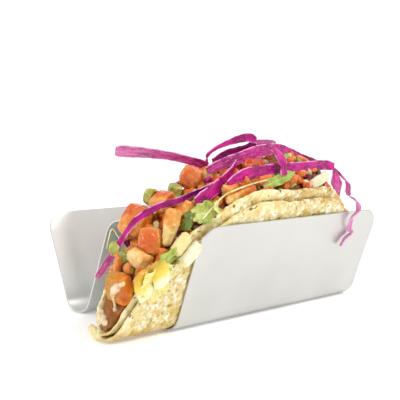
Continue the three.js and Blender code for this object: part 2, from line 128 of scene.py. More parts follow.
class Board:
    """A node tree, and short ways to add nodes to it."""

    def __init__(self, tree):
        self.tree = tree
        self.tree.nodes.clear()

    def node(self, kind, settings=None, inputs=None, output=0):
        """Adds a node. Its inputs are values, wires or lists of wires, and one output comes back."""
        made = self.tree.nodes.new(kind)
        for name, value in (settings or {}).items():
            setattr(made, name, value)
        for key, value in (inputs or {}).items():
            for one in value if isinstance(value, list) else [value]:
                if isinstance(one, Wire):
                    self.tree.links.new(one.socket, made.inputs[key])
                else:
                    made.inputs[key].default_value = one
        return Wire(self, made.outputs[output])

    def math(self, operation, *values):
        return self.node("ShaderNodeMath", {"operation": operation}, dict(enumerate(values)))

    def vector(self, operation, *values):
        return self.node("ShaderNodeVectorMath", {"operation": operation}, dict(enumerate(values)))

    def scaled(self, vector, factor):
        return self.node("ShaderNodeVectorMath", {"operation": "SCALE"}, {0: vector, "Scale": factor})

    def part(self, vector, axis):
        """The X, Y or Z of a vector."""
        return self.node("ShaderNodeSeparateXYZ", {}, {0: vector}, output=axis)

    def step(self, value, start, end):
        """A smooth step from 0 at start to 1 at end."""
        settings = {"interpolation_type": "SMOOTHSTEP"}
        return self.node("ShaderNodeMapRange", settings, {0: value, 1: start, 2: end, 3: 0.0, 4: 1.0})

    def mix(self, share, first, second):
        """The second colour laid over the first by its share."""
        return self.node("ShaderNodeMix", {"data_type": "RGBA"}, {0: share, 6: first, 7: second}, output=2)

    def lumps(self, place, size, seed, stretch=(1, 1, 1)):
        """A place counted in lumps of about that size, and shifted by the seed."""
        counted = self.vector("MULTIPLY", place, Vector(stretch) / size)
        return self.vector("ADD", counted, tuple(seed * shift for shift in SEED_SHIFT))

    def noise(self, place, size, detail=2.0, roughness=0.5, seed=0.0, stretch=(1, 1, 1)):
        """Noise from 0 to 1, with lumps of about that size in metres."""
        where = self.lumps(place, size, seed, stretch)
        inputs = {"Vector": where, "Scale": 1.0, "Detail": detail, "Roughness": roughness}
        return self.node("ShaderNodeTexNoise", {}, inputs)

    def cells(self, place, size, seed=0.0):
        """The distance to the nearest of points strewn about that size apart, as a share of that size."""
        inputs = {"Vector": self.lumps(place, size, seed), "Scale": 1.0}
        return self.node("ShaderNodeTexVoronoi", {}, inputs)


def paint(code):
    """A colour as a screen shows it, such as #d9a0c0, as the linear values that nodes use."""
    parts = [int(code[k : k + 2], 16) / 255 for k in (1, 3, 5)]
    return tuple(c / 12.92 if c <= 0.04045 else ((c + 0.055) / 1.055) ** 2.4 for c in parts) + (1.0,)


print("a tortilla's pale yellow in linear values:", [round(c, 3) for c in paint("#ead79a")])

# %% [markdown]
# Every finish is a Principled shader whose colour, roughness and bump come from node patterns in the
# object's own coordinates. What stays the same all over, such as how far light sinks into the flesh,
# is set on the shader's sockets. `Finish` starts a material, and its `done` closes it.


# %% A finish: one shader, fed by patterns
class Finish(Board):
    def __init__(self, name, **constants):
        self.material = bpy.data.materials.new(name)
        self.material.use_nodes = True
        super().__init__(self.material.node_tree)
        self.shader = self.tree.nodes.new("ShaderNodeBsdfPrincipled")
        output = self.tree.nodes.new("ShaderNodeOutputMaterial")
        self.tree.links.new(self.shader.outputs[0], output.inputs["Surface"])
        for key, value in constants.items():
            self.shader.inputs[key.replace("_", " ")].default_value = value
        self.place = self.node("ShaderNodeTexCoord", output="Object")

    def attribute(self, name):
        return self.node("ShaderNodeAttribute", {"attribute_name": name}, output="Fac")

    def done(self, height=None, lift=MM, **varying):
        """Feeds the shader. `height` is from 0 to 1, and `lift` is how high 1 stands."""
        if height is not None:
            bump = {"Height": height, "Distance": lift, "Strength": 1.0}
            varying["Normal"] = self.node("ShaderNodeBump", {}, bump)
        for key, wire in varying.items():
            self.tree.links.new(wire.socket, self.shader.inputs[key.replace("_", " ")])
        print("finish", self.material.name, "has", len(self.tree.nodes), "nodes")
        return self.material


# %% [markdown]
# Geometry Nodes build what follows a rule. `Pattern` starts such a tree with named inputs, `grow`
# runs it once on a source mesh, and the result is kept as a plain mesh with its place in its points.


# %% A pattern: one geometry tree with named inputs
class Pattern(Board):
    def __init__(self, name):
        super().__init__(bpy.data.node_groups.new(name, "GeometryNodeTree"))
        self.keys = {}
        face = self.tree.interface
        face.new_socket("Geometry", in_out="OUTPUT", socket_type="NodeSocketGeometry")
        face.new_socket("Geometry", in_out="INPUT", socket_type="NodeSocketGeometry")
        self.entry = self.tree.nodes.new("NodeGroupInput")
        self.source = Wire(self, self.entry.outputs[0])

    def inlet(self, name, kind="Float"):
        socket = self.tree.interface.new_socket(name, in_out="INPUT", socket_type="NodeSocket" + kind)
        self.keys[name] = socket.identifier
        return Wire(self, self.entry.outputs[name])

    def close(self, geometry):
        finish = self.inlet("Material", "Material")
        real = self.node("GeometryNodeRealizeInstances", {}, {"Geometry": geometry})
        coated = self.node("GeometryNodeSetMaterial", {}, {"Geometry": real, "Material": finish})
        output = self.tree.nodes.new("NodeGroupOutput")
        self.tree.links.new(coated.socket, output.inputs[0])
        print("pattern", self.tree.name, "has", len(self.tree.nodes), "nodes")
        return self


def placed(name, mesh):
    """A new object at the origin, unturned."""
    piece = bpy.data.objects.new(name, mesh)
    bpy.context.collection.objects.link(piece)
    return piece


def baked(piece):
    """Turns what the piece's modifiers make into its plain mesh."""
    graph = bpy.context.evaluated_depsgraph_get()
    mesh = bpy.data.meshes.new_from_object(piece.evaluated_get(graph))
    piece.modifiers.clear()
    piece.data = mesh
    return piece


def grow(name, source, pattern, **values):
    """A new piece: what a pattern makes of its source mesh with these inputs."""
    piece = placed(name, source)
    modifier = piece.modifiers.new(name, "NODES")
    modifier.node_group = pattern.tree
    for key, value in values.items():
        modifier[pattern.keys[key]] = value
    baked(piece)
    print(name, "has", sum(len(p.vertices) - 2 for p in piece.data.polygons), "triangles")
    return piece


def stands_for(piece, slot=None, *nodes):
    """Shades a finished piece smooth, lets it ride with the taco, and hides the CAD nodes that it replaces.
    Its slot is not used.
    """
    piece.data.shade_smooth()
    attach(piece, "root")
    if nodes:
        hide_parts(*nodes)


def nodes_named(prefix):
    """The CAD nodes of one kind, such as tomato_1 to tomato_20."""
    return [name for name in sorted(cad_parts) if name.rsplit("_", 1)[0] == prefix]


print("tomato pieces:", len(nodes_named("tomato")))

# %% [markdown]
# ## The holder
# It is one stainless sheet with a satin grain, folded into two valleys with a ridge between. Extruding
# a cross-section would do, but its free corners are round, so the sheet is laid as rows from rim to
# rim, each as long as the corner allows there. Solidify gives the sheet its thickness, and a small
# bevel gives the cut edge the bright line that sheet steel has.

# %% Rows of the bent sheet
BEND_STEPS, CORNER_STEPS = 28, 12
RIM_RUN = (HEIGHT - BEND + (SHEET_RADIUS - SHEET / 2) * sin(LEAN)) / cos(LEAN)


def panel_row(middle, side, from_rim):
    """A row on an outer panel: its y and z, and how far the round corner sets back its ends."""
    run = RIM_RUN - from_rim
    y = middle + side * (SHEET_RADIUS * cos(LEAN) + run * sin(LEAN))
    inset = CORNER - sqrt(max(0, CORNER**2 - max(0, CORNER - from_rim) ** 2))
    return y, BEND - SHEET_RADIUS * sin(LEAN) + run * cos(LEAN), inset


def bend_rows(middle, centre, up):
    """Rows round a bend about a y and a height: up is 1 for a valley and -1 for the ridge."""
    turns = [BEND_TURN * (2 * k / BEND_STEPS - 1) for k in range(BEND_STEPS + 1)]
    return [(middle + SHEET_RADIUS * sin(t), centre - up * SHEET_RADIUS * cos(t), 0) for t in turns]


corner_runs = [CORNER * (1 - cos(k * pi / 2 / CORNER_STEPS)) for k in range(CORNER_STEPS + 1)]
rows = [panel_row(0, -1, run) for run in corner_runs]
rows += bend_rows(0, BEND, 1) + bend_rows(PITCH, HEIGHT - BEND, -1) + bend_rows(2 * PITCH, BEND, 1)
rows += [panel_row(2 * PITCH, 1, run) for run in reversed(corner_runs)]
print("the sheet has", len(rows), "rows")

# %% Sheet, thickness and edge
CUTS = 12  # along the sheet
EDGE_WIDTH = 0.22  # of the bevel


def grid_faces(columns, rows, first=0):
    """The faces of a grid whose points are listed row by row from the first."""
    in_row = columns + 1
    starts = (first + j * in_row + i for j in range(rows) for i in range(columns))
    return [(a, a + 1, a + in_row + 1, a + in_row) for a in starts]


steel_mesh = bpy.data.meshes.new("holder_sheet")
points = [
    spot(inset + (LENGTH - 2 * inset) * k / CUTS, y, z) for y, z, inset in rows for k in range(CUTS + 1)
]
steel_mesh.from_pydata(points, [], grid_faces(CUTS, len(rows) - 1))
holder = placed("holder_sheet", steel_mesh)
walls = holder.modifiers.new("thickness", "SOLIDIFY")
walls.thickness = SHEET * MM
walls.offset = 0
edge = holder.modifiers.new("edge", "BEVEL")
edge.width = EDGE_WIDTH * MM
edge.segments = 2
edge.limit_method = "ANGLE"
edge.angle_limit = radians(50)
baked(holder)
print("the holder has", len(holder.data.polygons), "faces")

# %% [markdown]
# Satin steel is metal with a fine grain along the sheet. The grain is noise stretched along x, which
# varies the roughness and lifts the surface by a few microns. Faint broad clouds stand for handling.


# %% Satin steel
def satin_steel():
    steel = Finish("satin_steel", Metallic=1.0, IOR=2.5)
    grain = steel.noise(steel.place, 0.35 * MM, detail=3.0, stretch=(0.02, 1, 1))
    clouds = steel.noise(steel.place, 35 * MM, detail=2.0, seed=1)
    shade = steel.step(clouds, 0.3, 0.7) * 0.8 + steel.step(grain, 0.3, 0.7) * 0.2
    colour = steel.mix(shade, paint("#c9c9c6"), paint("#d2d2cf"))
    return steel.done(
        grain,
        0.002 * MM,
        Base_Color=colour,
        Roughness=0.42 + 0.06 * steel.step(clouds, 0.35, 0.65) + 0.03 * grain,
    )


holder.data.materials.append(satin_steel())
stands_for(holder, "steel", "holder")

# %% [markdown]
# ## The tortillas
# Each is a flat round that was folded, so its rule is the same everywhere: a distance from the fold,
# walked along the outside of the stack, gives a place and a heading. That is a job for Geometry
# Nodes. A grid is sent along the rule, extruded to the thickness of the dough, closed and
# subdivided, and then the coarse meal is raised as real bumps, deeper than a bump map could show
# on the rim.

# %% The fold's own sizes
FOLD_RADIUS, WALL_RUN, CURL_RUN = 8.6, 46, 24
CURL_TURN = radians(24)
CURL_RADIUS = CURL_RUN / CURL_TURN
LIFT = 1.45  # of the stack above the table
NEAR_TIP = -40  # x of the stack's near end
DROOP = 0.9  # of that end, which nothing carries
DOUGH = 2.4  # thickness of a tortilla
GAP = 0.35  # between neighbours
FOLD_ARC = FOLD_RADIUS * BEND_TURN
BOW, BOW_REACH = 1, 66.5  # how far the stack bows in, and how far from the fold it does so fully
FAR_ROUND = 6  # exponent of the far end's outline: 2 would be an ellipse, and more is squarer


def folded(board, x, arc, inward):
    """The place of a point at a signed distance along the fold's section, some way in from the outside."""
    run = arc.math("ABSOLUTE")
    side = arc.math("SIGN")
    bow = (run / (BOW_REACH * MM)).math("MINIMUM", 1.0) * (BOW * MM)
    long_wave = (x / (9 * MM) + side).math("SINE")
    short_wave = (x / (4.3 * MM) + arc / (11 * MM)).math("SINE")
    waves = 0.5 + 0.3 * long_wave + 0.2 * short_wave
    fold = run.math("MINIMUM", FOLD_ARC * MM) / (FOLD_RADIUS * MM)
    wall = (run - FOLD_ARC * MM).math("MAXIMUM", 0.0).math("MINIMUM", WALL_RUN * MM)
    curl = (run - (FOLD_ARC + WALL_RUN) * MM).math("MAXIMUM", 0.0) / (CURL_RADIUS * MM)
    heading = fold + curl
    out = fold.math("SINE") * (FOLD_RADIUS * MM) + wall * cos(BEND_TURN)
    out = out + (heading.math("SINE") - fold.math("SINE")) * (CURL_RADIUS * MM)
    rise = (1 - fold.math("COSINE")) * (FOLD_RADIUS * MM) + wall * sin(BEND_TURN)
    rise = rise + (fold.math("COSINE") - heading.math("COSINE")) * (CURL_RADIUS * MM)
    depth = inward + bow * waves
    y = side * (out - depth * heading.math("SINE"))
    droop = (x / (NEAR_TIP * MM)).math("MAXIMUM", 0.0) ** 1.5 * (DROOP * MM)
    z = rise + depth * heading.math("COSINE") + LIFT * MM - droop
    return board.node("ShaderNodeCombineXYZ", {}, {0: x + START.x, 1: y + START.y, 2: z})


print("the fold's round part is", round(2 * FOLD_ARC, 1), "mm across")


# %% Parts that several patterns share
def named(tree, name):
    """Reads a value that is stored on the points."""
    return tree.node("GeometryNodeInputNamedAttribute", {"data_type": "FLOAT"}, {"Name": name})


def stored(tree, geometry, name, value, domain="POINT"):
    inputs = {"Geometry": geometry, "Name": name, "Value": value}
    return tree.node("GeometryNodeStoreNamedAttribute", {"domain": domain}, inputs)


def moved(tree, geometry, offset):
    return tree.node("GeometryNodeSetPosition", {}, {"Geometry": geometry, "Offset": offset})


def raised(tree, geometry, height):
    """Moves each point that far out along its normal."""
    return moved(tree, geometry, tree.scaled(tree.node("GeometryNodeInputNormal"), height))


def warped(tree, geometry, noise, reach):
    """Pushes each point aside as the noise says, by up to half the reach each way."""
    centred = tree.vector("SUBTRACT", noise.out("Color"), (0.5, 0.5, 0.5))
    return moved(tree, geometry, tree.scaled(centred, reach))


def slab(tree, sheet, thick):
    """Gives a sheet its thickness, closes it and rounds it."""
    lower = raised(tree, sheet, thick * -0.5)
    extrusion = {"Mesh": lower, "Offset Scale": thick, "Individual": False}
    upper = tree.node("GeometryNodeExtrudeMesh", {}, extrusion)
    turned = tree.node("GeometryNodeFlipFaces", {}, {"Mesh": lower})
    shell = tree.node("GeometryNodeJoinGeometry", {}, {"Geometry": [upper, turned]})
    closed = tree.node("GeometryNodeMergeByDistance", {}, {"Geometry": shell, "Distance": 0.01 * MM})
    return tree.node("GeometryNodeSubdivisionSurface", {}, {"Mesh": closed, "Level": 1})


print("two tortillas with their gap are", round(2 * DOUGH + GAP, 2), "mm thick")

# %% The tortilla pattern
GRID = {"Size X": 2.0, "Size Y": 2.0, "Vertices X": 120, "Vertices Y": 96}  # from -1 to 1 each way


def tortilla_pattern():
    tree = Pattern("tortilla")
    near, far = tree.inlet("Near end"), tree.inlet("Far end")
    right, left = tree.inlet("Right rim"), tree.inlet("Left rim")
    right_round, left_round = tree.inlet("Right roundness"), tree.inlet("Left roundness")
    depth = tree.inlet("Depth")
    lip_start, lip = tree.inlet("Lip start"), tree.inlet("Lip")
    relief, seed = tree.inlet("Relief"), tree.inlet("Seed")

    place = tree.node("GeometryNodeInputPosition")
    u, v = tree.part(place, "X"), tree.part(place, "Y")
    is_right, is_near = v.math("LESS_THAN", 0.0), u.math("LESS_THAN", 0.0)
    rim = left + (right - left) * is_right
    near_round = left_round + (right_round - left_round) * is_right
    power = FAR_ROUND + (near_round - FAR_ROUND) * is_near
    norm = (u.math("ABSOLUTE") ** power + v.math("ABSOLUTE") ** power) ** (1 / power)
    closeness = u.math("ABSOLUTE").math("MAXIMUM", v.math("ABSOLUTE"))  # 0 in the middle, 1 on the rim
    tears = {"Vector": place, "W": seed, "Scale": 5.0}
    torn = tree.node("ShaderNodeTexNoise", {"noise_dimensions": "4D"}, tears)
    ragged = 1 + 0.05 * (torn - 0.5) + 0.008 * (17 * v - 9 * u).math("SINE")
    reach = ragged * closeness / norm.math("MAXIMUM", 0.0001)
    x = (near + far) / 2 + (far - near) / 2 * reach * u
    arc = rim * reach * v
    over = tree.step(arc.math("ABSOLUTE"), lip_start, lip_start + 2.5 * MM) * is_right
    shape = folded(tree, x, arc, depth + 0.5 * DOUGH * MM - lip * over)

    grid = tree.node("GeometryNodeMeshGrid", {}, GRID)
    marked = stored(tree, grid, "rim", closeness)
    sheet = tree.node("GeometryNodeSetPosition", {}, {"Geometry": marked, "Position": shape})
    # From here on the grid lies in its real place, so u is a real x. The near tip is thinner.
    thick = DOUGH * MM * (0.55 + 0.45 * tree.step(u - START.x, NEAR_TIP * MM, -15 * MM))
    fine = slab(tree, sheet, thick)

    meal = tree.noise(place, 4.6 * MM, detail=4.0, roughness=0.62)
    grit = tree.cells(place, 2.6 * MM, seed=2)
    marked = stored(tree, fine, "meal", (meal - 0.5) * 2.0 + (0.45 - grit) * 0.6)
    return tree.close(raised(tree, marked, named(tree, "meal") * relief))


tortilla_tree = tortilla_pattern()

# %% [markdown]
# Corn dough bakes pale yellow, with brown freckles where it touched the griddle, a few dark char specks,
# and golden rims. Its colour also follows the raised meal: painted highlight, near white, on the high
# points, and painted shade, browner, in the hollows. Near the open end the rims are painted paler, as
# if lit, where they lie in shade. The freckles are noise cut off sharply, and the rims follow the `rim`
# value that the pattern stored on the points.


# %% Baked corn dough
def baked_dough():
    dough = Finish(
        "baked_corn_dough",
        Subsurface_Weight=0.15,
        Subsurface_Radius=(1.0, 0.7, 0.35),
        Subsurface_Scale=1.5 * MM,
        Specular_IOR_Level=0.3,
    )
    x, z = dough.part(dough.place, "X"), dough.part(dough.place, "Z")
    outside = dough.attribute("rim")
    rim = dough.step(outside, 0.95, 1.0)
    far = dough.step(x, START.x + 35 * MM, START.x + 90 * MM)
    grain = dough.noise(dough.place, 1.5 * MM, detail=4.0, roughness=0.65, seed=2)
    meal = dough.attribute("meal") + 1.7 * (grain - 0.5)
    patches = dough.noise(dough.place, 8 * MM, detail=3.0, roughness=0.6, seed=1)
    freckles = dough.noise(dough.place, 2.4 * MM, detail=2.0, seed=3)
    char = dough.noise(dough.place, 2.8 * MM, detail=2.5, seed=4)
    base = dough.step(z, 9 * MM, 2 * MM)
    end = dough.step(x, START.x + 110 * MM, START.x + 121 * MM)
    # painted highlight and shade: the colour follows the raised relief, browner in its hollows and near white
    # on its high points, mixed with fine grain
    colour = dough.mix(dough.step(meal, -0.6, -0.1), paint("#b08a3a"), paint("#decf98"))
    colour = dough.mix(dough.step(meal, -0.05, 0.3), colour, paint("#f7f2e0"))
    colour = dough.mix(dough.step(patches, 0.5, 0.62) * 0.6, colour, paint("#cfa840"))
    # painted light: the rims near the open end, which lie in shade, are painted paler cream
    colour = dough.mix(dough.step(outside, 0.85, 1.0) * (1 - far) * 0.42, colour, paint("#fbf0b6"))
    # golden toasting on the far rims, strongest in the relief's hollows, where it is also painted shade
    colour = dough.mix(rim * far * dough.step(meal, 0.3, -0.3) * 0.7, colour, paint("#bf923e"))
    colour = dough.mix(base * 0.55, colour, paint("#bf9a44"))
    colour = dough.mix(end * dough.step(patches, 0.35, 0.6), colour, paint("#b47c30"))
    colour = dough.mix(dough.step(freckles, 0.64, 0.72) * 0.75, colour, paint("#9c6c28"))
    colour = dough.mix(dough.step(char + 0.08 * rim, 0.7, 0.76) * 0.85, colour, paint("#6a431a"))
    return dough.done(grain, 0.5 * MM, Base_Color=colour, Roughness=0.85 - 0.15 * rim)


dough_finish = baked_dough()
OUTER = {
    "Near end": -38.5,
    "Far end": 125,
    "Right rim": 66.5,
    "Left rim": 57,
    "Depth": 0,
    "Lip start": 90,
    "Lip": 0,
}
INNER = {
    "Near end": NEAR_TIP,
    "Far end": 121,
    "Right rim": 72.5,
    "Left rim": 61,
    "Depth": DOUGH + GAP,
    "Lip start": 67.2,
    "Lip": 2.2,
}
blank = bpy.data.meshes.new("blank")
# Each one's sizes, the exponent of its near right outline, and the seed of its torn rim.
ROUNDS = {"tortilla_outer": (OUTER, 1.5, 3.0), "tortilla_inner": (INNER, 1.45, 8.0)}
for name, (sizes, right_round, seed) in ROUNDS.items():
    values = {key: value * MM for key, value in sizes.items()}
    values |= {"Right roundness": right_round, "Left roundness": 1.8, "Relief": 0.85 * MM, "Seed": seed}
    tortilla = grow(name + "_baked", blank.copy(), tortilla_tree, Material=dough_finish, **values)
    stands_for(tortilla, "tortilla", name)

# %% [markdown]
# ## Cut vegetables
# A cube of tomato is not a box: the knife leaves flat faces with soft wet edges, and the flesh sags
# and swells between them. The CAD solids already lie where each piece lies, cut clear of their
# neighbours, so each is copied, welded, remeshed finely and smoothed. A small pattern then swells
# and pits the faces. All pieces of one kind become one mesh, and numbers on its points say how
# ripe or pale each piece is and where it still has its skin.


# %% One mesh from many CAD solids
def welded(node):
    """A copy of a node's mesh in which neighbouring faces share their corners."""
    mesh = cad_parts[node].data.copy()
    weld = bmesh.new()
    weld.from_mesh(mesh)
    bmesh.ops.remove_doubles(weld, verts=weld.verts, dist=0.001 * MM)
    weld.to_mesh(mesh)
    weld.free()
    return mesh


def reskinned(piece, voxel, rounds):
    """Gives a piece one skin of faces about `voxel` mm wide, smoothed that many times."""
    skin = piece.modifiers.new("skin", "REMESH")
    skin.mode = "VOXEL"
    skin.voxel_size = voxel * MM
    soften = piece.modifiers.new("soften", "SMOOTH")
    soften.iterations = rounds
    return baked(piece)


def marked_mesh(name, points, edges, faces, marks):
    """A mesh whose points carry marks: a name and one value for each point."""
    mesh = bpy.data.meshes.new(name)
    mesh.from_pydata(points, edges, faces)
    for label, values in marks.items():
        mesh.attributes.new(label, "FLOAT", "POINT").data.foreach_set("value", np.array(values, float))
    return mesh


def refined(nodes, voxel, rounds=3, tints=None, rinds=None, skin_share=0.0, seed=1):
    """The solids of these nodes, remeshed. Each point knows its piece's tint, how near it lies to the
    piece's middle and to the core of the fruit that it was cut from, and if it is on skin."""
    tints, rinds = tints or {}, rinds or {}
    random = np.random.default_rng(seed)
    points, faces, count = [], [], 0
    marks = {"tint": [], "core": [], "skin": [], "middle": []}
    for name in nodes:
        copy = reskinned(placed("copy", welded(name)), voxel, rounds)
        made = copy.data
        amount = len(made.vertices)
        spots, normals = np.empty(amount * 3), np.empty(amount * 3)
        made.vertices.foreach_get("co", spots)
        made.vertices.foreach_get("normal", normals)
        spots = spots.reshape(-1, 3)
        rind = random.normal(size=3)
        rind[2] = abs(rind[2])
        has_skin = random.uniform() < skin_share
        if name in rinds:
            rind, has_skin = np.array(rinds[name], float), True
        rind /= np.linalg.norm(rind)
        from_middle = spots - spots.mean(axis=0)
        towards_rind = from_middle @ rind
        facing = normals.reshape(-1, 3) @ rind
        reach = np.linalg.norm(from_middle, axis=1)
        marks["tint"].append(np.full(amount, tints.get(name, random.uniform(0.3, 0.7))))
        marks["core"].append(0.5 - 0.5 * towards_rind / np.abs(towards_rind).max())
        marks["skin"].append(np.clip((facing - 0.7) / 0.1, 0, 1) * has_skin)
        marks["middle"].append(1 - reach / reach.max())
        points.append(spots)
        faces += [[v + count for v in face.vertices] for face in made.polygons]
        count += amount
        bpy.data.objects.remove(copy)
    print(len(nodes), "solids from", nodes[0], "became", count, "points")
    marks = {label: np.concatenate(values) for label, values in marks.items()}
    return marked_mesh(nodes[0], np.concatenate(points), [], faces, marks)


# %% Swells and pits
def flesh_pattern():
    tree = Pattern("flesh")
    size, height = tree.inlet("Size"), tree.inlet("Height")
    pits, seed = tree.inlet("Pits"), tree.inlet("Seed")
    where = {"Vector": tree.scaled(tree.node("GeometryNodeInputPosition"), 1 / size), "W": seed}
    settings = {"noise_dimensions": "4D"}
    swell = tree.node("ShaderNodeTexNoise", settings, where | {"Scale": 1.0, "Detail": 2.0})
    ripple = tree.node("ShaderNodeTexNoise", settings, where | {"Scale": 4.0, "Detail": 2.0})
    hollow = tree.node("ShaderNodeTexVoronoi", {"voronoi_dimensions": "4D"}, where | {"Scale": 0.7})
    dent = tree.step(hollow, 0.4, 0.1) * pits
    out = (swell - 0.5) * 2 * height + (ripple - 0.5) * 0.7 * height - dent
    return tree.close(raised(tree, tree.source, out))


flesh_tree = flesh_pattern()

# %% [markdown]
# Tomato flesh goes from red-orange to a pale gold core, with paler veins, and the light goes into it.
# Near their edges the pieces are painted lighter orange, as if lit through.
# Where a piece has its skin, it is a deep even red and shines. The wet film is the shader's coat.


# %% Tomato
def tomato_flesh():
    wet = Finish(
        "tomato",
        Subsurface_Weight=0.5,
        Subsurface_Radius=(1.0, 0.35, 0.1),
        Subsurface_Scale=3 * MM,
        Coat_Roughness=0.06,
        Specular_IOR_Level=0.3,
    )
    ripe = wet.attribute("tint")
    skin = wet.attribute("skin")
    core = wet.attribute("core")
    veins = wet.noise(wet.place, 2.2 * MM, detail=3.0, roughness=0.65, seed=1)
    clouds = wet.noise(wet.place, 5 * MM, detail=2.0, seed=2)
    grain = wet.noise(wet.place, 0.7 * MM, detail=2.0, seed=3)
    pale = core + 1.5 * (clouds - 0.5) + 0.5 * (veins - 0.5) + 0.7 * (0.5 - ripe)
    colour = wet.mix(wet.step(pale, 0.0, 0.5), paint("#cc5204"), paint("#de7c1c"))
    colour = wet.mix(wet.step(pale, 0.4, 0.9), colour, paint("#e2a64e"))
    colour = wet.mix(wet.step(pale, 0.75, 1.1), colour, paint("#ecd28e"))
    colour = wet.mix(wet.step(veins, 0.56, 0.7) * 0.45, colour, paint("#e2a25e"))
    colour = wet.mix(wet.step(veins, 0.42, 0.3) * 0.25, colour, paint("#b43c0a"))
    # painted light: flesh near a piece's edges is painted lighter orange, as if light shone through it
    lit_edge = wet.attribute("middle") + 0.5 * (clouds - 0.5)
    colour = wet.mix(wet.step(lit_edge, 0.3, 0.0) * 0.45, colour, paint("#eeaa5c"))
    colour = wet.mix(skin * (0.4 + 0.45 * ripe), colour, paint("#c63604"))
    height = 0.7 * veins + 0.3 * grain
    return wet.done(
        height * (1 - 0.8 * skin),
        0.7 * MM,
        Base_Color=colour,
        Roughness=0.3 - 0.12 * skin,
        Coat_Weight=0.25 + 0.5 * wet.step(veins, 0.4, 0.6),
    )


tomato_finish = tomato_flesh()

# %% Tomato pieces
RIPENESS = {  # of the pieces that aren't left to chance, pale at 0 and red at 1
    "tomato_1": 0.35,
    "tomato_2": 0.05,
    "tomato_3": 0.4,
    "tomato_4": -0.3,
    "tomato_5": 0.1,
    "tomato_6": 1.15,
    "tomato_7": 0.35,
    "tomato_8": 1.3,
    "tomato_9": 0.9,
    "tomato_12": 0.25,
    "tomato_13": 0.3,
}
# The direction in which the skin of these two lies.
RINDS = {"tomato_2": (-0.8, -0.5, 0.3), "tomato_8": (-0.3, -0.5, 0.8)}
tomato = grow(
    "tomato_dice",
    refined(nodes_named("tomato"), 0.45, 40, RIPENESS, RINDS, skin_share=0.3, seed=4),
    flesh_tree,
    Material=tomato_finish,
    **{"Size": 6 * MM, "Height": 0.9 * MM, "Pits": 0.8 * MM, "Seed": 1.0},
)
stands_for(tomato, "tomato", *nodes_named("tomato"))

# %% [markdown]
# Onion is cream-white and faintly see-through, with fine lines along its layers. The green pieces
# are avocado: soft, pale yellow inside and green towards the skin. The yellow wedges are golden at
# the core of the fruit, and pale to cream-white towards the rind, which lies low.


# %% Onion
def onion_flesh():
    wet = Finish("onion", Subsurface_Weight=0.3, Subsurface_Scale=2 * MM, Coat_Roughness=0.08)
    yellow = wet.attribute("tint")
    lines = wet.noise(wet.place, 0.8 * MM, detail=2.0, seed=1, stretch=(0.12, 0.12, 1))
    clouds = wet.noise(wet.place, 4 * MM, detail=2.0, seed=2)
    colour = wet.mix(yellow, paint("#ebe5cc"), paint("#e6d68e"))
    colour = wet.mix(wet.step(clouds, 0.5, 0.7) * 0.6, colour, paint("#e3dc98"))
    colour = wet.mix(wet.step(lines, 0.52, 0.62) * 0.4, colour, paint("#cfbf7e"))
    return wet.done(
        lines,
        0.3 * MM,
        Base_Color=colour,
        Roughness=0.28 + 0.1 * lines,
        Coat_Weight=0.5 + 0.2 * clouds,
    )


onion_finish = onion_flesh()


# %% Avocado
def avocado_flesh():
    soft = Finish("avocado", Subsurface_Weight=0.25, Subsurface_Scale=2 * MM, Coat_Roughness=0.2)
    ripe, core = soft.attribute("tint"), soft.attribute("core")
    clouds = soft.noise(soft.place, 5 * MM, detail=3.0, seed=1)
    smear = soft.noise(soft.place, 1.6 * MM, detail=3.0, seed=2)
    green = soft.mix(ripe, paint("#aaa63e"), paint("#86902c"))
    green = soft.mix(soft.step(ripe, 1.0, 1.5), green, paint("#4a6c1a"))
    pale = soft.step(core + clouds - 0.5, 0.25, 0.8) * soft.step(ripe, 1.4, 0.6)
    colour = soft.mix(pale, green, paint("#cbc06c"))
    colour = soft.mix(soft.step(smear, 0.58, 0.72) * 0.6, colour, paint("#dcd294"))
    colour = soft.mix(soft.step(smear, 0.42, 0.32) * 0.5, colour, paint("#6d7424"))
    return soft.done(
        smear,
        0.6 * MM,
        Base_Color=colour,
        Roughness=0.4 + 0.1 * smear,
        Coat_Weight=0.2 + 0.3 * clouds,
    )


avocado_finish = avocado_flesh()


# %% Yellow wedges
def wedge_flesh():
    wet = Finish(
        "yellow_wedge",
        Subsurface_Weight=0.1,
        Subsurface_Radius=(1.0, 0.8, 0.2),
        Subsurface_Scale=2 * MM,
        Coat_Roughness=0.1,
    )
    fibre = wet.noise(wet.place, 1.1 * MM, detail=3.0, seed=2)
    clouds = wet.noise(wet.place, 4 * MM, detail=1.0, seed=6)
    inner = wet.attribute("core") + 0.3 * (clouds - 0.5) + 0.35 * (fibre - 0.5)
    colour = wet.mix(wet.step(inner, 0.2, 0.5), paint("#f0ecc2"), paint("#e2cc2c"))
    colour = wet.mix(wet.step(inner, 0.5, 0.85), colour, paint("#d49c00"))
    return wet.done(
        fibre,
        0.4 * MM,
        Base_Color=colour,
        Roughness=0.3 + 0.1 * fibre,
        Coat_Weight=0.4 + 0.2 * fibre,
    )


wedge_finish = wedge_flesh()

# %% Sticks, pieces and wedges
YELLOWNESS = {"onion_1": 0.9, "onion_2": 0.1, "onion_3": 0.1}
GREENNESS = {"avocado_1": 0.2, "avocado_3": 1.0, "avocado_4": 1.3}
WEDGE_RINDS = {"yellow_wedge_1": (0.35, -0.45, -0.8), "yellow_wedge_2": (0.45, -0.4, -0.8)}
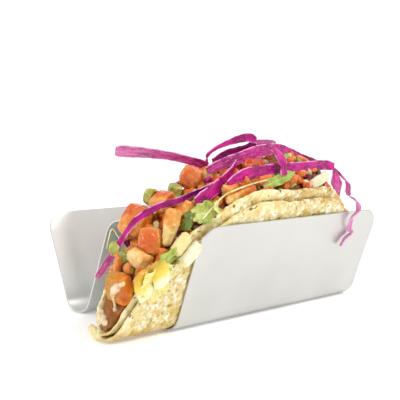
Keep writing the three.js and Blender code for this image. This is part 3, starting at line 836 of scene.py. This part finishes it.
# Name, kind, finish, tints, rounds of smoothing, and in mm the height of swells and depth of pits.
KINDS = [
    ("onion_sticks", "onion", onion_finish, YELLOWNESS, 1, 0.2, 0.1),
    ("avocado_pieces", "avocado", avocado_finish, GREENNESS, 6, 0.8, 0.8),
    ("yellow_wedges", "yellow_wedge", wedge_finish, {}, 4, 0.4, 0.3),
]
for name, kind, finish, tints, rounds, height, pits in KINDS:
    mesh = refined(nodes_named(kind), 0.4, rounds, tints, WEDGE_RINDS, skin_share=0.7, seed=9)
    values = {"Size": 4 * MM, "Height": height * MM, "Pits": pits * MM, "Seed": 2.0}
    stands_for(grow(name, mesh, flesh_tree, Material=finish, **values), kind, *nodes_named(kind))

# %% [markdown]
# ## The cooked filling
# It shows at the near end: a soft orange chunk, glossy with juice, in front of a brown stewed mass
# that fills the fold. Both are refined from their solids in the same way, and so is the dark core of
# the salsa, which carries the chopped bits further on.


# %% Stewed finishes
def stewed(name, dark, middle, bright, left, lumps):
    """Stewed food in three tones with a fourth on its left side, and clouds of about that size."""
    stew = Finish(
        name,
        Subsurface_Weight=0.2,
        Subsurface_Radius=(1.0, 0.4, 0.15),
        Subsurface_Scale=2 * MM,
        Coat_Roughness=0.1,
        Specular_IOR_Level=0.3,
    )
    clouds = stew.noise(stew.place, lumps, detail=3.0, seed=1)
    grain = stew.noise(stew.place, 1.5 * MM, detail=4.0, roughness=0.6, seed=2)
    wet = stew.noise(stew.place, 5 * MM, detail=1.0, seed=3)
    colour = stew.mix(stew.step(clouds, 0.35, 0.55), paint(dark), paint(middle))
    colour = stew.mix(stew.step(clouds, 0.55, 0.72), colour, paint(bright))
    aside = stew.part(stew.place, "Y") + 6 * MM * (clouds - 0.5)
    colour = stew.mix(stew.step(aside, START.y - 9 * MM, START.y - 1 * MM) * 0.8, colour, paint(left))
    colour = stew.mix(stew.step(grain, 0.62, 0.74) * 0.4, colour, paint(dark))
    return stew.done(
        grain,
        0.5 * MM,
        Base_Color=colour,
        Roughness=0.4 + 0.15 * grain,
        Coat_Weight=0.5 * stew.step(wet, 0.4, 0.6),
    )


stew_finish = stewed("brown_stew", "#743608", "#a45412", "#bc7426", "#9a5e1c", 6 * MM)
chunk_finish = stewed("orange_chunk", "#b45404", "#d07000", "#dc8c14", "#b8861c", 5 * MM)
salsa_finish = stewed("salsa_juice", "#4a1806", "#803414", "#a4642a", "#7c3a14", 4 * MM)

# %% Chunk, filling and core
# Name, node, finish, and in mm the width of the faces, and the width and height of the swells.
COOKED = [
    ("orange_chunk", "filling_chunk", chunk_finish, 0.4, 6, 0.5),
    ("brown_filling", "filling", stew_finish, 0.8, 4.5, 1.0),
    ("salsa_core", "salsa", salsa_finish, 0.9, 4, 1.2),
]
for name, node, finish, voxel, size, height in COOKED:
    values = {"Size": size * MM, "Height": height * MM, "Pits": 0.6 * MM, "Seed": 3.0}
    piece = grow(name, refined([node], voxel), flesh_tree, Material=finish, **values)
    stands_for(piece, node, node)

# %% [markdown]
# ## Shreds of red cabbage
# A shred is a strip of leaf: it follows a path, twists along it, is cupped across, has torn edges and
# thins at its ends. That is a sweep along a curve. Each path is a chain of edges whose points carry the
# width, the twist and how pale the leaf is there, and the pattern turns the chain into a curve, sweeps
# a flat section along it and gives it the thickness of a leaf. Ten paths are given. The two
# on the flank that faces the ridge follow the middles of their solids.


# %% Paths of the shreds, in millimetres
# Roll, in degrees, and paleness go evenly from their first value to their last, and below 0 a shred is
# darker. Swell holds factors on the width, spread evenly along the path.
SHREDS = [
    {
        "path": [
            (-25, 20, 26), (-21, 18, 32), (-17.6, 12, 42.2), (-17.7, -0.4, 54.5), (-10.3, -6.4, 60.3),
            (-0.6, -10, 62.7), (10.5, -9.5, 65.5), (19.4, -9.5, 67.6), (29, -8.5, 70),
        ],
        "width": 3.2,
        "pale": (0.5, -1.0),
        "swell": (1.2, 1.1, 1.0, 1.0, 1.0, 0.9, 0.8),
    },
    {
        "path": [
            (5.7, -15, 61.4), (13.3, -15, 64.8), (23.6, -13, 68.6), (35.8, -10, 73.4), (53, -3, 80.5),
            (73, 0, 84),
        ],
        "width": 7,
        "pale": (0.0, 0.1),
    },
    {
        "path": [
            (32, 1.5, 78.6), (31.4, 1.2, 82.4), (35, 0.5, 85.4), (44.6, -2, 89.2), (57, -4.5, 91.4),
            (60.8, -5, 89.2), (59.1, -3, 86.8), (44.6, -0.5, 83.9), (35, 1, 80),
        ],
        "width": 3.6,
        "pale": (0.1, -0.7),
        "swell": (0.4, 0.5, 0.8, 1.1, 1.35, 1.0, 0.9, 0.9, 0.7),
    },
    {
        "path": [
            (28.5, -1, 75.2), (36.3, -3.5, 78.2), (45.7, -7, 81.2), (61, -8, 84.6), (80.6, -6, 85),
            (101.8, -5, 80), (117.7, -5, 76.8),
        ],
        "width": 6,
        "pale": (0.3, 0.15),
        "swell": (0.8, 1.0, 1.1, 1.0, 0.9, 0.7, 0.5),
    },
    {
        "path": [(68.3, 3, 88.6), (77.1, 2, 88.9), (84.5, 0, 88.1)],
        "width": 3.0,
        "pale": (0.4, 0.5),
    },
    {
        "path": [
            (27, -16, 69.6), (36.4, -17, 73.4), (50.2, -17, 74.9), (68.7, -16, 75.9), (94.2, -15, 76.1),
            (111.7, -14, 76.1), (119, -14, 75.1),
        ],
        "width": 5.6,
        "pale": (0.0, 0.1),
        "swell": (0.7, 1.1, 1.0, 0.9, 0.9, 1.0, 0.95),
    },
    {
        "path": [(68.8, -10.5, 86.5), (66, -18.5, 80.5), (65.8, -20.5, 72.4)],
        "width": 6,
        "roll": (80, 90),
        "pale": (0.1, 0.0),
    },
    {
        "path": [
            (121.5, -13, 73.8), (125.5, -18.5, 66), (118, -24.5, 60), (121, -27.8, 56.5),
            (120, -29.4, 52), (116.6, -27.6, 48.2), (117.4, -25.4, 42.3), (121.4, -24, 39.1),
            (117.1, -22.8, 35.9), (114.8, -21.4, 31.8),
        ],
        "width": 3,
        "roll": (80, 90),
        "pale": (0.1, 0.9),
    },
    {
        "path": [(-7.3, 26, 85.4), (8.4, 18, 84), (20.4, 12, 82), (26.3, 9, 80.4), (36, 5, 77.4)],
        "width": 5.6,
        "roll": (10, 30),
        "pale": (0.55, 0.2),
        "swell": (1.1, 1.0, 0.85, 0.8, 0.9),
    },
    {
        "path": [(118.8, -14.6, 74.2), (117.8, -16.6, 67), (116, -18.4, 60.5), (114, -18.6, 54.5)],
        "width": 5.5,
        "roll": (85, 90),
        "pale": (0.2, 0.6),
        "swell": (0.5, 0.9, 1.3, 0.7, 0.5, 0.7),
    },
]


def middle_line(node, slices):
    """A path down the middle of a solid that runs along x: the mean of its corners in each slice."""
    corners = np.array([v.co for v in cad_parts[node].data.vertices])
    corners = (corners - np.array(START)) / MM
    x = corners[:, 0]
    cuts = np.linspace(x.min(), x.max(), slices + 1)
    middles = [corners[(x >= a) & (x <= b)].mean(axis=0) for a, b in zip(cuts, cuts[1:])]
    return [tuple(p) for p in (corners[x.argmin()], *middles, corners[x.argmax()])]


for node, pale in (("red_cabbage_11", (0.3, 0.0)), ("red_cabbage_12", (0.0, 0.4))):
    SHREDS.append({"path": middle_line(node, 8), "width": 3.2, "roll": (40, 60), "pale": pale})
print("shreds:", len(SHREDS), "paths for", len(nodes_named("red_cabbage")), "solids")

# %% Paths of the stems, and chains of points
NEXT_STRIP = 131  # mm added to the run of each next strip, so that no two have the same veins
STEMS = [
    {
        "path": [
            (2, -22.6, 54.6), (10.2, -22, 59.8), (17.8, -22, 64.6), (28.9, -21.6, 67.4),
            (41.4, -21, 69.4), (52, -20.6, 70.6),
        ],
        "width": 0.8,
    },
    {
        "path": [
            (-22.9, 15, 40), (-21.9, 14.5, 45.3), (-20.4, 14, 49.2), (-18, 13, 46.2), (-17.4, 11, 42.9),
        ],
        "width": 0.6,
    },
]


def along(path, step):
    """Points about `step` mm apart on a smooth curve through a path, which stays tight at close points."""
    knots = [Vector(p) for p in path]
    knots = [2 * knots[0] - knots[1], *knots, 2 * knots[-1] - knots[-2]]
    points = []
    for a, b, c, d in zip(knots, knots[1:], knots[2:], knots[3:]):
        t1 = (b - a).length ** 0.5
        t2 = t1 + (c - b).length ** 0.5
        t3 = t2 + (d - c).length ** 0.5
        count = max(2, round((c - b).length / step))
        for k in range(count):
            t = t1 + (t2 - t1) * k / count
            ab = a + (b - a) * (t / t1)
            bc = b + (c - b) * ((t - t1) / (t2 - t1))
            cd = c + (d - c) * ((t - t2) / (t3 - t2))
            abc = ab + (bc - ab) * (t / t2)
            bcd = bc + (cd - bc) * ((t - t1) / (t3 - t1))
            points.append(abc + (bcd - abc) * ((t - t1) / (t2 - t1)))
    return points + [Vector(path[-1])]


def chains(name, strips, step=1.0):
    """All paths as chains of edges. Each point knows its half width, its roll, how pale it is, and how
    far along its strip it lies."""
    points, edges = [], []
    marks = {"width": [], "roll": [], "pale": [], "run": []}
    for row, strip in enumerate(strips):
        line = along(strip["path"], step)
        first = len(points)
        swell = strip.get("swell", (1, 1))
        for k, place in enumerate(line):
            share = k / (len(line) - 1)
            ends = min(1, 0.75 + 4 * min(share, 1 - share))
            narrow = ends * np.interp(share * (len(swell) - 1), range(len(swell)), swell)
            points.append(spot(*place))
            marks["width"].append(strip["width"] / 2 * narrow * MM)
            marks["run"].append(k * step + NEXT_STRIP * row)
            for label in ("roll", "pale"):
                start, end = strip.get(label, (0, 0))
                marks[label].append(start + (end - start) * share)
        edges += [(first + k, first + k + 1) for k in range(len(line) - 1)]
    marks["roll"] = np.radians(marks["roll"])
    print(name, "lie on", len(points), "points")
    return marked_mesh(name, points, edges, [], marks)


# %% The shred pattern
def shred_pattern():
    tree = Pattern("shred")
    thick, torn, wave = tree.inlet("Thickness"), tree.inlet("Torn edge"), tree.inlet("Wave")
    curve = tree.node("GeometryNodeMeshToCurve", {}, {"Mesh": tree.source})
    upright = tree.node("GeometryNodeSetCurveNormal", {"mode": "Z_UP"}, {"Curve": curve})
    rolled = tree.node("GeometryNodeSetCurveTilt", {}, {"Curve": upright, "Tilt": named(tree, "roll")})
    line = tree.node("GeometryNodeCurvePrimitiveLine", {}, {"Start": (0, -1, 0), "End": (0, 1, 0)})
    flat = tree.node("GeometryNodeResampleCurve", {}, {"Curve": line, "Count": 8})
    place = tree.node("GeometryNodeInputPosition")
    section = stored(tree, flat, "across", tree.part(place, "Y"))
    sweep = {"Curve": rolled, "Profile Curve": section, "Scale": named(tree, "width")}
    strip = tree.node("GeometryNodeCurveToMesh", {}, sweep)
    side = named(tree, "across")
    edge = side.math("ABSOLUTE")
    tears = tree.noise(place, 2.2 * MM, detail=4.0, roughness=0.6)
    ragged = warped(tree, strip, tears, (0.2 + edge) * torn)
    folds = (side * 3.4 + named(tree, "run") / 7).math("SINE") * 0.5 + edge * edge
    cupped = raised(tree, ragged, folds * wave)
    return tree.close(slab(tree, cupped, thick))


shred_tree = shred_pattern()

# %% [markdown]
# Red cabbage is a vivid magenta that pales to pink in places and at the cut, where the white inside
# shows through. Fine veins run along it, and its waxy face shines a little.


# %% Cabbage leaf
def cabbage_leaf():
    leaf = Finish(
        "red_cabbage",
        Subsurface_Weight=0.2,
        Subsurface_Radius=(1.0, 0.15, 0.8),
        Subsurface_Scale=1 * MM,
        Coat_Roughness=0.15,
        Specular_IOR_Level=0.2,
    )
    pale, side = leaf.attribute("pale"), leaf.attribute("across")
    edge = side.math("ABSOLUTE")
    strip = leaf.node("ShaderNodeCombineXYZ", {}, {0: leaf.attribute("run") * 0.14, 1: side * 2.2, 2: 0.0})
    clouds = leaf.noise(leaf.place, 6 * MM, detail=3.0, seed=1)
    veins = leaf.noise(strip, 0.7, detail=3.0, roughness=0.6)
    spots = leaf.noise(leaf.place, 1.3 * MM, detail=2.0, seed=3)
    colour = leaf.mix(leaf.step(clouds, 0.35, 0.6), paint("#8a045c"), paint("#c20684"))
    colour = leaf.mix(leaf.step(veins, 0.5, 0.64) * 0.6, colour, paint("#d4349c"))
    colour = leaf.mix(leaf.step(veins, 0.42, 0.3) * 0.6, colour, paint("#6c0450"))
    pink = leaf.step(pale + 0.7 * (veins - 0.5) + 0.3 * (spots - 0.5), 0.1, 0.9)
    colour = leaf.mix(pink, colour, paint("#e2a0cc"))
    colour = leaf.mix(leaf.step(pale, 0.0, -1.0), colour, paint("#5c0450"))
    cut = leaf.step(edge, 0.78, 0.98) * leaf.step(clouds, 0.38, 0.55) * 0.85
    colour = leaf.mix(cut, colour, paint("#e8b0d6"))
    colour = leaf.mix(leaf.step(spots, 0.66, 0.74) * 0.5, colour, paint("#dc70b4"))
    return leaf.done(
        veins,
        0.35 * MM,
        Base_Color=colour,
        Roughness=0.35 + 0.2 * veins,
        Coat_Weight=0.02 + 0.2 * clouds,
    )


cabbage_finish = cabbage_leaf()

# %% All shreds as one mesh
values = {"Thickness": 0.75 * MM, "Torn edge": 0.9 * MM, "Wave": 0.3 * MM, "Material": cabbage_finish}
cabbage = grow("cabbage_shreds", chains("cabbage", SHREDS, 0.8), shred_tree, **values)
stands_for(cabbage, "red_cabbage", *nodes_named("red_cabbage"))

# %% [markdown]
# ## Sprout stems and leaves
# A stem is the simplest sweep, a round section along a path. A leaf is a sheet with a torn outline,
# cupped and ruffled towards its rim, with a rib down the middle. Its points are worked out in Python,
# with the distances that its veins need stored on them, and the same slab as before gives it its
# thickness.


# %% Stems
def stem_pattern():
    tree = Pattern("stem")
    curve = tree.node("GeometryNodeMeshToCurve", {}, {"Mesh": tree.source})
    section = tree.node("GeometryNodeCurvePrimitiveCircle", {}, {"Resolution": 8, "Radius": 1.0})
    uneven = 1 + 0.35 * (tree.noise(tree.node("GeometryNodeInputPosition"), 4 * MM) - 0.5)
    width = named(tree, "width") * uneven
    sweep = {"Curve": curve, "Profile Curve": section, "Scale": width, "Fill Caps": True}
    return tree.close(tree.node("GeometryNodeCurveToMesh", {}, sweep))


def stem_skin():
    stem = Finish("sprout_stem", Subsurface_Weight=0.3, Subsurface_Scale=1 * MM, Coat_Weight=0.3)
    tone = stem.noise(stem.place, 6 * MM, detail=2.0)
    colour = stem.mix(stem.step(tone, 0.35, 0.65), paint("#e9e6b4"), paint("#b9c46a"))
    return stem.done(tone, 0.1 * MM, Base_Color=colour, Roughness=0.4 + 0.1 * tone)


stems = grow("sprout_stems", chains("stems", STEMS), stem_pattern(), Material=stem_skin())
stands_for(stems, "stem", *nodes_named("stem"))

# %% The leaves' own sizes, in millimetres and degrees
LEAVES = [
    {"at": (-22.5, -17.9, 28), "length": 24, "width": 19, "turn": (110, 12, 0), "cup": 1.2, "tone": -0.5},
    {"at": (-18.5, -20, 37), "length": 18, "width": 12, "turn": (108, 20, 8), "cup": 1.5, "tone": 0.7},
    {"at": (8.5, -19.5, 57), "length": 17, "width": 10, "turn": (70, -15, 0), "cup": 3, "tone": 0.5},
    {"at": (13, -21.8, 59.5), "length": 10, "width": 6, "turn": (80, 30, 0), "cup": 1, "tone": 0.1},
    {"at": (62.3, -20, 70.4), "length": 25, "width": 5.4, "turn": (60, -9, 12), "cup": 0.8, "tone": 0.7},
    {"at": (-21, 12, 40.5), "length": 7.5, "width": 4.6, "turn": (60, -30, 60), "cup": 1, "tone": 0.55},
]
LEAF_COLUMNS, LEAF_ROWS = 30, 20
TORN, RUFFLED = 0.22, 1.5  # how much the rim is torn, and how strongly it waves
RIB_SHARE, RIB_DEPTH = 0.08, 0.25  # of the leaf's half width, and in millimetres
print("leaves:", len(LEAVES), "for", len(nodes_named("leaf")), "solids")


# %% Leaves as sheets
def leaf_sheet(leaves):
    """All leaves as flat grids, each warped to a torn, cupped and ruffled sheet in its place."""
    points, faces, marks = [], [], {"across": [], "lengthwise": [], "tone": []}
    for k, leaf in enumerate(leaves):
        turn = Matrix()
        for axis, angle in zip("XYZ", leaf["turn"]):
            turn = turn @ Matrix.Rotation(radians(angle), 4, axis)
        faces += grid_faces(LEAF_COLUMNS, LEAF_ROWS, len(points))
        for j in range(LEAF_ROWS + 1):
            for i in range(LEAF_COLUMNS + 1):
                u, v = 2 * i / LEAF_COLUMNS - 1, 2 * j / LEAF_ROWS - 1
                x, y = u * sqrt(1 - v * v / 2), v * sqrt(1 - u * u / 2)
                rim = sqrt(x * x + y * y)
                torn = 1 + TORN * rim * noise.noise((4 * x / max(rim, 0.1), 4 * y / max(rim, 0.1), 5.3 * k))
                ruffle = RUFFLED * rim**3 * noise.noise((2.6 * u, 2.6 * v, 9.1 * k + 2))
                rib = RIB_DEPTH * max(0, 1 - abs(y) / RIB_SHARE)
                lift = leaf["cup"] * (y * y - 0.4) + ruffle * leaf["width"] / 8 - rib
                place = Vector((leaf["length"] / 2 * x * torn, leaf["width"] / 2 * y * torn, lift))
                points.append(spot(*(Vector(leaf["at"]) + turn @ place)))
                for label, value in (("across", y), ("lengthwise", x), ("tone", leaf["tone"])):
                    marks[label].append(value)
    return marked_mesh("leaves", points, [], faces, marks)


def leaf_pattern():
    tree = Pattern("leaf")
    return tree.close(slab(tree, tree.source, tree.inlet("Thickness")))


leaf_tree = leaf_pattern()


# %% Leaf green
def leaf_green():
    leaf = Finish(
        "salad_leaf",
        Subsurface_Weight=0.35,
        Subsurface_Radius=(0.6, 1.0, 0.2),
        Subsurface_Scale=1.2 * MM,
        Coat_Roughness=0.2,
    )
    across = leaf.attribute("across").math("ABSOLUTE")
    side_veins = ((leaf.attribute("lengthwise") - 0.7 * across) * 22).math("SINE")
    blotches = leaf.noise(leaf.place, 3 * MM, detail=3.0, seed=1)
    rib = leaf.step(across, 0.12, 0.0)
    veins = rib.math("MAXIMUM", leaf.step(side_veins, 0.8, 1.0) * 0.6)
    tone = leaf.attribute("tone")
    green = leaf.mix(leaf.step(tone + blotches - 0.5, 0.0, 1.0), paint("#e9df90"), paint("#86aa10"))
    dark = leaf.step(blotches, 0.5, 0.7) * 0.4 * leaf.step(tone, 0.0, 0.6)
    colour = leaf.mix(dark, green, paint("#557a10"))
    colour = leaf.mix(veins * 0.6, colour, paint("#e8e8b4"))
    return leaf.done(veins + 0.4 * blotches, 0.3 * MM, Base_Color=colour, Roughness=0.4 + 0.1 * blotches)


leaf_finish = leaf_green()
leaves = grow("salad_leaves", leaf_sheet(LEAVES), leaf_tree, Material=leaf_finish, Thickness=0.5 * MM)
stands_for(leaves, "leaf", *nodes_named("leaf"))

# %% [markdown]
# ## Chopped bits
# Between the large pieces lies what the knife made small: bits of tomato and onion, green flakes and
# purple scraps. One pattern strews them over the heap's core. It scatters points that keep their
# distance, sets a softened cube on each, turned and sized at random, makes them real and then warps
# them all, so that no two are alike.


# %% The strewing
def strewn_pattern():
    tree = Pattern("strewn")
    apart, share, size = tree.inlet("Distance"), tree.inlet("Share"), tree.inlet("Size")
    flat, warp, seed = tree.inlet("Flatness"), tree.inlet("Warp"), tree.inlet("Seed", "Int")
    scatter = {
        "Mesh": tree.source,
        "Distance Min": apart,
        "Density Max": 1e6,
        "Density Factor": share,
        "Seed": seed,
    }
    points = tree.node("GeometryNodeDistributePointsOnFaces", {"distribute_method": "POISSON"}, scatter)
    cube = tree.node("GeometryNodeMeshCube", {}, {"Vertices X": 4, "Vertices Y": 4, "Vertices Z": 4})
    place = tree.node("GeometryNodeInputPosition")
    length = tree.node("ShaderNodeVectorMath", {"operation": "LENGTH"}, {0: place}, output="Value")
    soft = tree.scaled(place, 1.5 / (length + 1.0))
    bit = tree.node("GeometryNodeSetPosition", {}, {"Geometry": cube, "Position": soft})
    settings = {"data_type": "FLOAT_VECTOR"}
    turn = tree.node("FunctionNodeRandomValue", settings, {0: (-pi, -pi, -pi), 1: (pi, pi, pi)})
    spread = {0: (0.6, 0.5, 0.6), 1: (1.5, 1.1, 1.3), "Seed": seed}
    grown = tree.node("FunctionNodeRandomValue", settings, spread)
    thinned = tree.node("ShaderNodeCombineXYZ", {}, {0: size, 1: size, 2: size * flat})
    scale = tree.vector("MULTIPLY", grown, thinned)
    laid = {"Points": points, "Instance": bit, "Rotation": turn, "Scale": scale}
    bits = tree.node("GeometryNodeInstanceOnPoints", {}, laid)
    tint = tree.node("FunctionNodeRandomValue", {"data_type": "FLOAT"}, {2: 0.3, 3: 1.2, "Seed": 5}, output=1)
    marks = {  # what the finishes look for on larger pieces
        "tint": tint,
        "tone": tint,
        "core": tint * 0.6,
        "across": 0.5,
        "pale": 0.5 - tint,
        "run": tint * 90,
    }
    for label, value in marks.items():
        bits = stored(tree, bits, label, value, "INSTANCE")
    real = tree.node("GeometryNodeRealizeInstances", {}, {"Geometry": bits})
    fine = tree.node("GeometryNodeSubdivisionSurface", {}, {"Mesh": real, "Level": 1})
    return tree.close(warped(tree, fine, tree.noise(place, 3 * MM), warp))


strewn_tree = strewn_pattern()

# %% Five kinds of bits
bed = bpy.data.objects["salsa_core"].data
# Name, slot, finish, distance apart in mm, share kept, size in mm, flatness and seed.
BITS = [
    ("tomato_bits", "tomato", tomato_finish, 5.6, 0.85, 6.4, 0.75, 12),
    ("onion_bits", "onion", onion_finish, 8.0, 0.4, 4.4, 0.5, 2),
    ("green_bits", "leaf", leaf_finish, 4.6, 0.5, 5.0, 0.3, 3),
    ("avocado_bits", "avocado", avocado_finish, 7.5, 0.4, 4.0, 0.8, 4),
    ("cabbage_bits", "red_cabbage", cabbage_finish, 7.0, 0.3, 5.0, 0.4, 5),
]
for name, slot, finish, apart, share, size, flat, seed in BITS:
    sizes = {"Distance": apart * MM, "Size": size * MM, "Warp": 0.4 * size * MM, "Flatness": flat}
    strewn = grow(name, bed.copy(), strewn_tree, Material=finish, Share=share, Seed=seed, **sizes)
    stands_for(strewn, slot)

# %% [markdown]
# ## Cream sauce
# A thin streak of sauce runs down the chunk and gathers in a drop, more lies in the corner of the
# fold, and some has set at its tip. Drops of liquid run together, which metaballs do by nature, but
# spheres joined by a remesh give a mesh directly: a chain of small balls is laid on the surface by
# casting rays at it, remeshed as one skin and smoothed.

# %% Drops on a surface
INWARD = Vector((0.74, 0.67, -0.07)).normalized()  # from the open near end into the taco
RAY_START = 30  # mm out from the place that a drop is given
DROP_FLATNESS = 0.7  # of a drop's size along x to its size across


def surface_of(*names):
    """One search tree over the faces of several pieces."""
    points, faces = [], []
    for name in names:
        mesh = bpy.data.objects[name].data
        first = len(points)
        points += [v.co.copy() for v in mesh.vertices]
        faces += [[first + v for v in p.vertices] for p in mesh.polygons]
    return BVHTree.FromPolygons(points, faces)


def landed(surface, place):
    """Where a ray towards the taco's inside first meets the surface."""
    hit = surface.ray_cast(spot(*place) - INWARD * RAY_START * MM, INWARD)[0]
    return hit or spot(*place)


def sauce(name, surface, drops):
    """One skin over balls, each given by its place and its radius in millimetres."""
    mesh = bpy.data.meshes.new(name)
    balls = bmesh.new()
    for place, radius in drops:
        where = Matrix.Translation(landed(surface, place)) @ Matrix.Diagonal((DROP_FLATNESS, 1, 1, 1))
        bmesh.ops.create_icosphere(balls, subdivisions=3, radius=radius * MM, matrix=where)
    balls.to_mesh(mesh)
    balls.free()
    return reskinned(placed(name, mesh), 0.3, 8)


def trickle(path, start, end, count):
    """Drops along a path, from one radius to another."""
    line = along(path, 0.5)
    picked = [line[round(k * (len(line) - 1) / (count - 1))] for k in range(count)]
    return [(place, start + (end - start) * k / (count - 1)) for k, place in enumerate(picked)]


print("rays go in along", [round(c, 2) for c in INWARD])


# %% Cream sauce
def cream_sauce():
    cream = Finish(
        "cream_sauce",
        Subsurface_Weight=0.5,
        Subsurface_Scale=2 * MM,
        Coat_Weight=0.5,
        Coat_Roughness=0.1,
    )
    curds = cream.noise(cream.place, 3 * MM, detail=3.0)
    colour = cream.mix(cream.step(curds, 0.4, 0.7), paint("#e0cca8"), paint("#cca67a"))
    low = cream.step(cream.part(cream.place, "Z"), 9 * MM, 5 * MM)
    colour = cream.mix(low, colour, paint("#e4d7a0"))
    return cream.done(curds, 0.2 * MM, Base_Color=colour, Roughness=0.35 + 0.1 * curds)


cream_finish = cream_sauce()

# %% Streak, patch and tip
STREAK = [(-36, -10.4, 28.1), (-36, -6.5, 26.5), (-36, -3.2, 23.7), (-36, -3.8, 19.5), (-36, -4.4, 15.8)]
GATHERED = [
    ((-36, -4.4, 15.2), 1.4),
    ((-36, -6.5, 26), 2.3),
    ((-36, -4.5, 24.6), 2.2),
    ((-36, -3.6, 22.6), 1.7),
]
SAUCES = {
    "cream_streak": trickle(STREAK, 1.2, 0.9, 26) + GATHERED,
    "cream_patch": [((-36, 3, 11), 2.4), ((-36, 1.5, 9.4), 1.8), ((-36, 4.2, 13), 1.9), ((-36, 4.6, 9), 1.7)],
    "cream_tip": [((-36, 9, 4.2), 2.6), ((-36, 7, 2.8), 2.6), ((-36, 11, 5.2), 2.1), ((-36, 5, 3), 1.8)],
}
wetted = surface_of("orange_chunk", "brown_filling", "tortilla_inner_baked", "tortilla_outer_baked")
for name, drops in SAUCES.items():
    skin = sauce(name, wetted, drops)
    skin.data.materials.append(cream_finish)
    stands_for(skin)

# %% [markdown]
# ## The stage
# A pale floor that curves up behind the taco, a bright even sky, one broad soft light above on the
# right and a weaker one off the near end. The camera stands low, off the near right corner.

# %% The floor
VIEW_TURN, VIEW_DIP = radians(42.771), radians(4.323)  # of the camera, from the x axis and down


def backdrop():
    """A floor that rises in a quarter round far behind, in metres."""
    half, near_edge, bend_start, radius, top, steps = 4.0, -3.0, 2.0, 1.5, 5.0, 16
    turns = np.linspace(0.1, pi / 2, steps)
    line = [(near_edge, 0.0), (bend_start, 0.0)]
    line += [(bend_start + radius * sin(t), radius * (1 - cos(t))) for t in turns]
    line += [(bend_start + radius, top)]
    away = Vector((cos(VIEW_TURN), sin(VIEW_TURN), 0))
    aside = Vector((-away.y, away.x, 0))
    mesh = bpy.data.meshes.new("backdrop")
    points = [away * run + aside * side + Vector((0, 0, z)) for run, z in line for side in (half, -half)]
    faces = [(2 * k, 2 * k + 1, 2 * k + 3, 2 * k + 2) for k in range(len(line) - 1)]
    mesh.from_pydata(points, [], faces)
    mesh.shade_smooth()
    return placed("backdrop", mesh)


floor = backdrop()
paper = Finish(
    "pale_paper",
    Roughness=0.9,
    Specular_IOR_Level=0.1,
    Emission_Color=(1, 1, 1, 1),
    Emission_Strength=0.18,
)
tooth = paper.noise(paper.place, 0.5)
floor.data.materials.append(paper.done(Base_Color=paper.mix(tooth, paint("#fcfbfa"), paint("#fefdfc"))))

# %% The camera
CAMERA_SPOT = (-311.222, -310.952, 95.67)
scene = bpy.context.scene
scene.view_settings.view_transform = "Standard"
camera = placed("camera", bpy.data.cameras.new("camera"))
camera.data.lens = 84.25
camera.data.sensor_width = 36
camera.location = spot(*CAMERA_SPOT)
camera.rotation_euler = (pi / 2 - VIEW_DIP, 0, VIEW_TURN - pi / 2)
scene.camera = camera
print("camera at", [round(c, 3) for c in camera.location])

# %% Lights and sky
LIT = spot(40, 10, 45)  # the middle of the heap, which both lights face


def softbox(name, towards, distance, size, power, colour):
    """A round soft light that far off in a direction, turned to the heap."""
    light = bpy.data.lights.new(name, "AREA")
    light.shape = "DISK"
    light.size = size
    light.energy = power
    light.color = colour
    lamp = placed(name, light)
    aim = Vector(towards).normalized()
    lamp.location = LIT + aim * distance
    lamp.rotation_euler = aim.to_track_quat("Z", "Y").to_euler()
    print(name, "at", [round(c, 2) for c in lamp.location])


softbox("key_light", (0.3, -0.75, 1.1), 1.3, 0.5, 7.2, (1.0, 0.98, 0.95))
softbox("front_light", (-1.0, 0.3, 0.6), 1.6, 0.45, 4.5, (1.0, 1.0, 1.0))
world = bpy.data.worlds.new("bright_room")
scene.world = world
world.use_nodes = True
world.node_tree.nodes["Background"].inputs["Color"].default_value = (1.0, 1.0, 1.0, 1)
world.node_tree.nodes["Background"].inputs["Strength"].default_value = 0.86
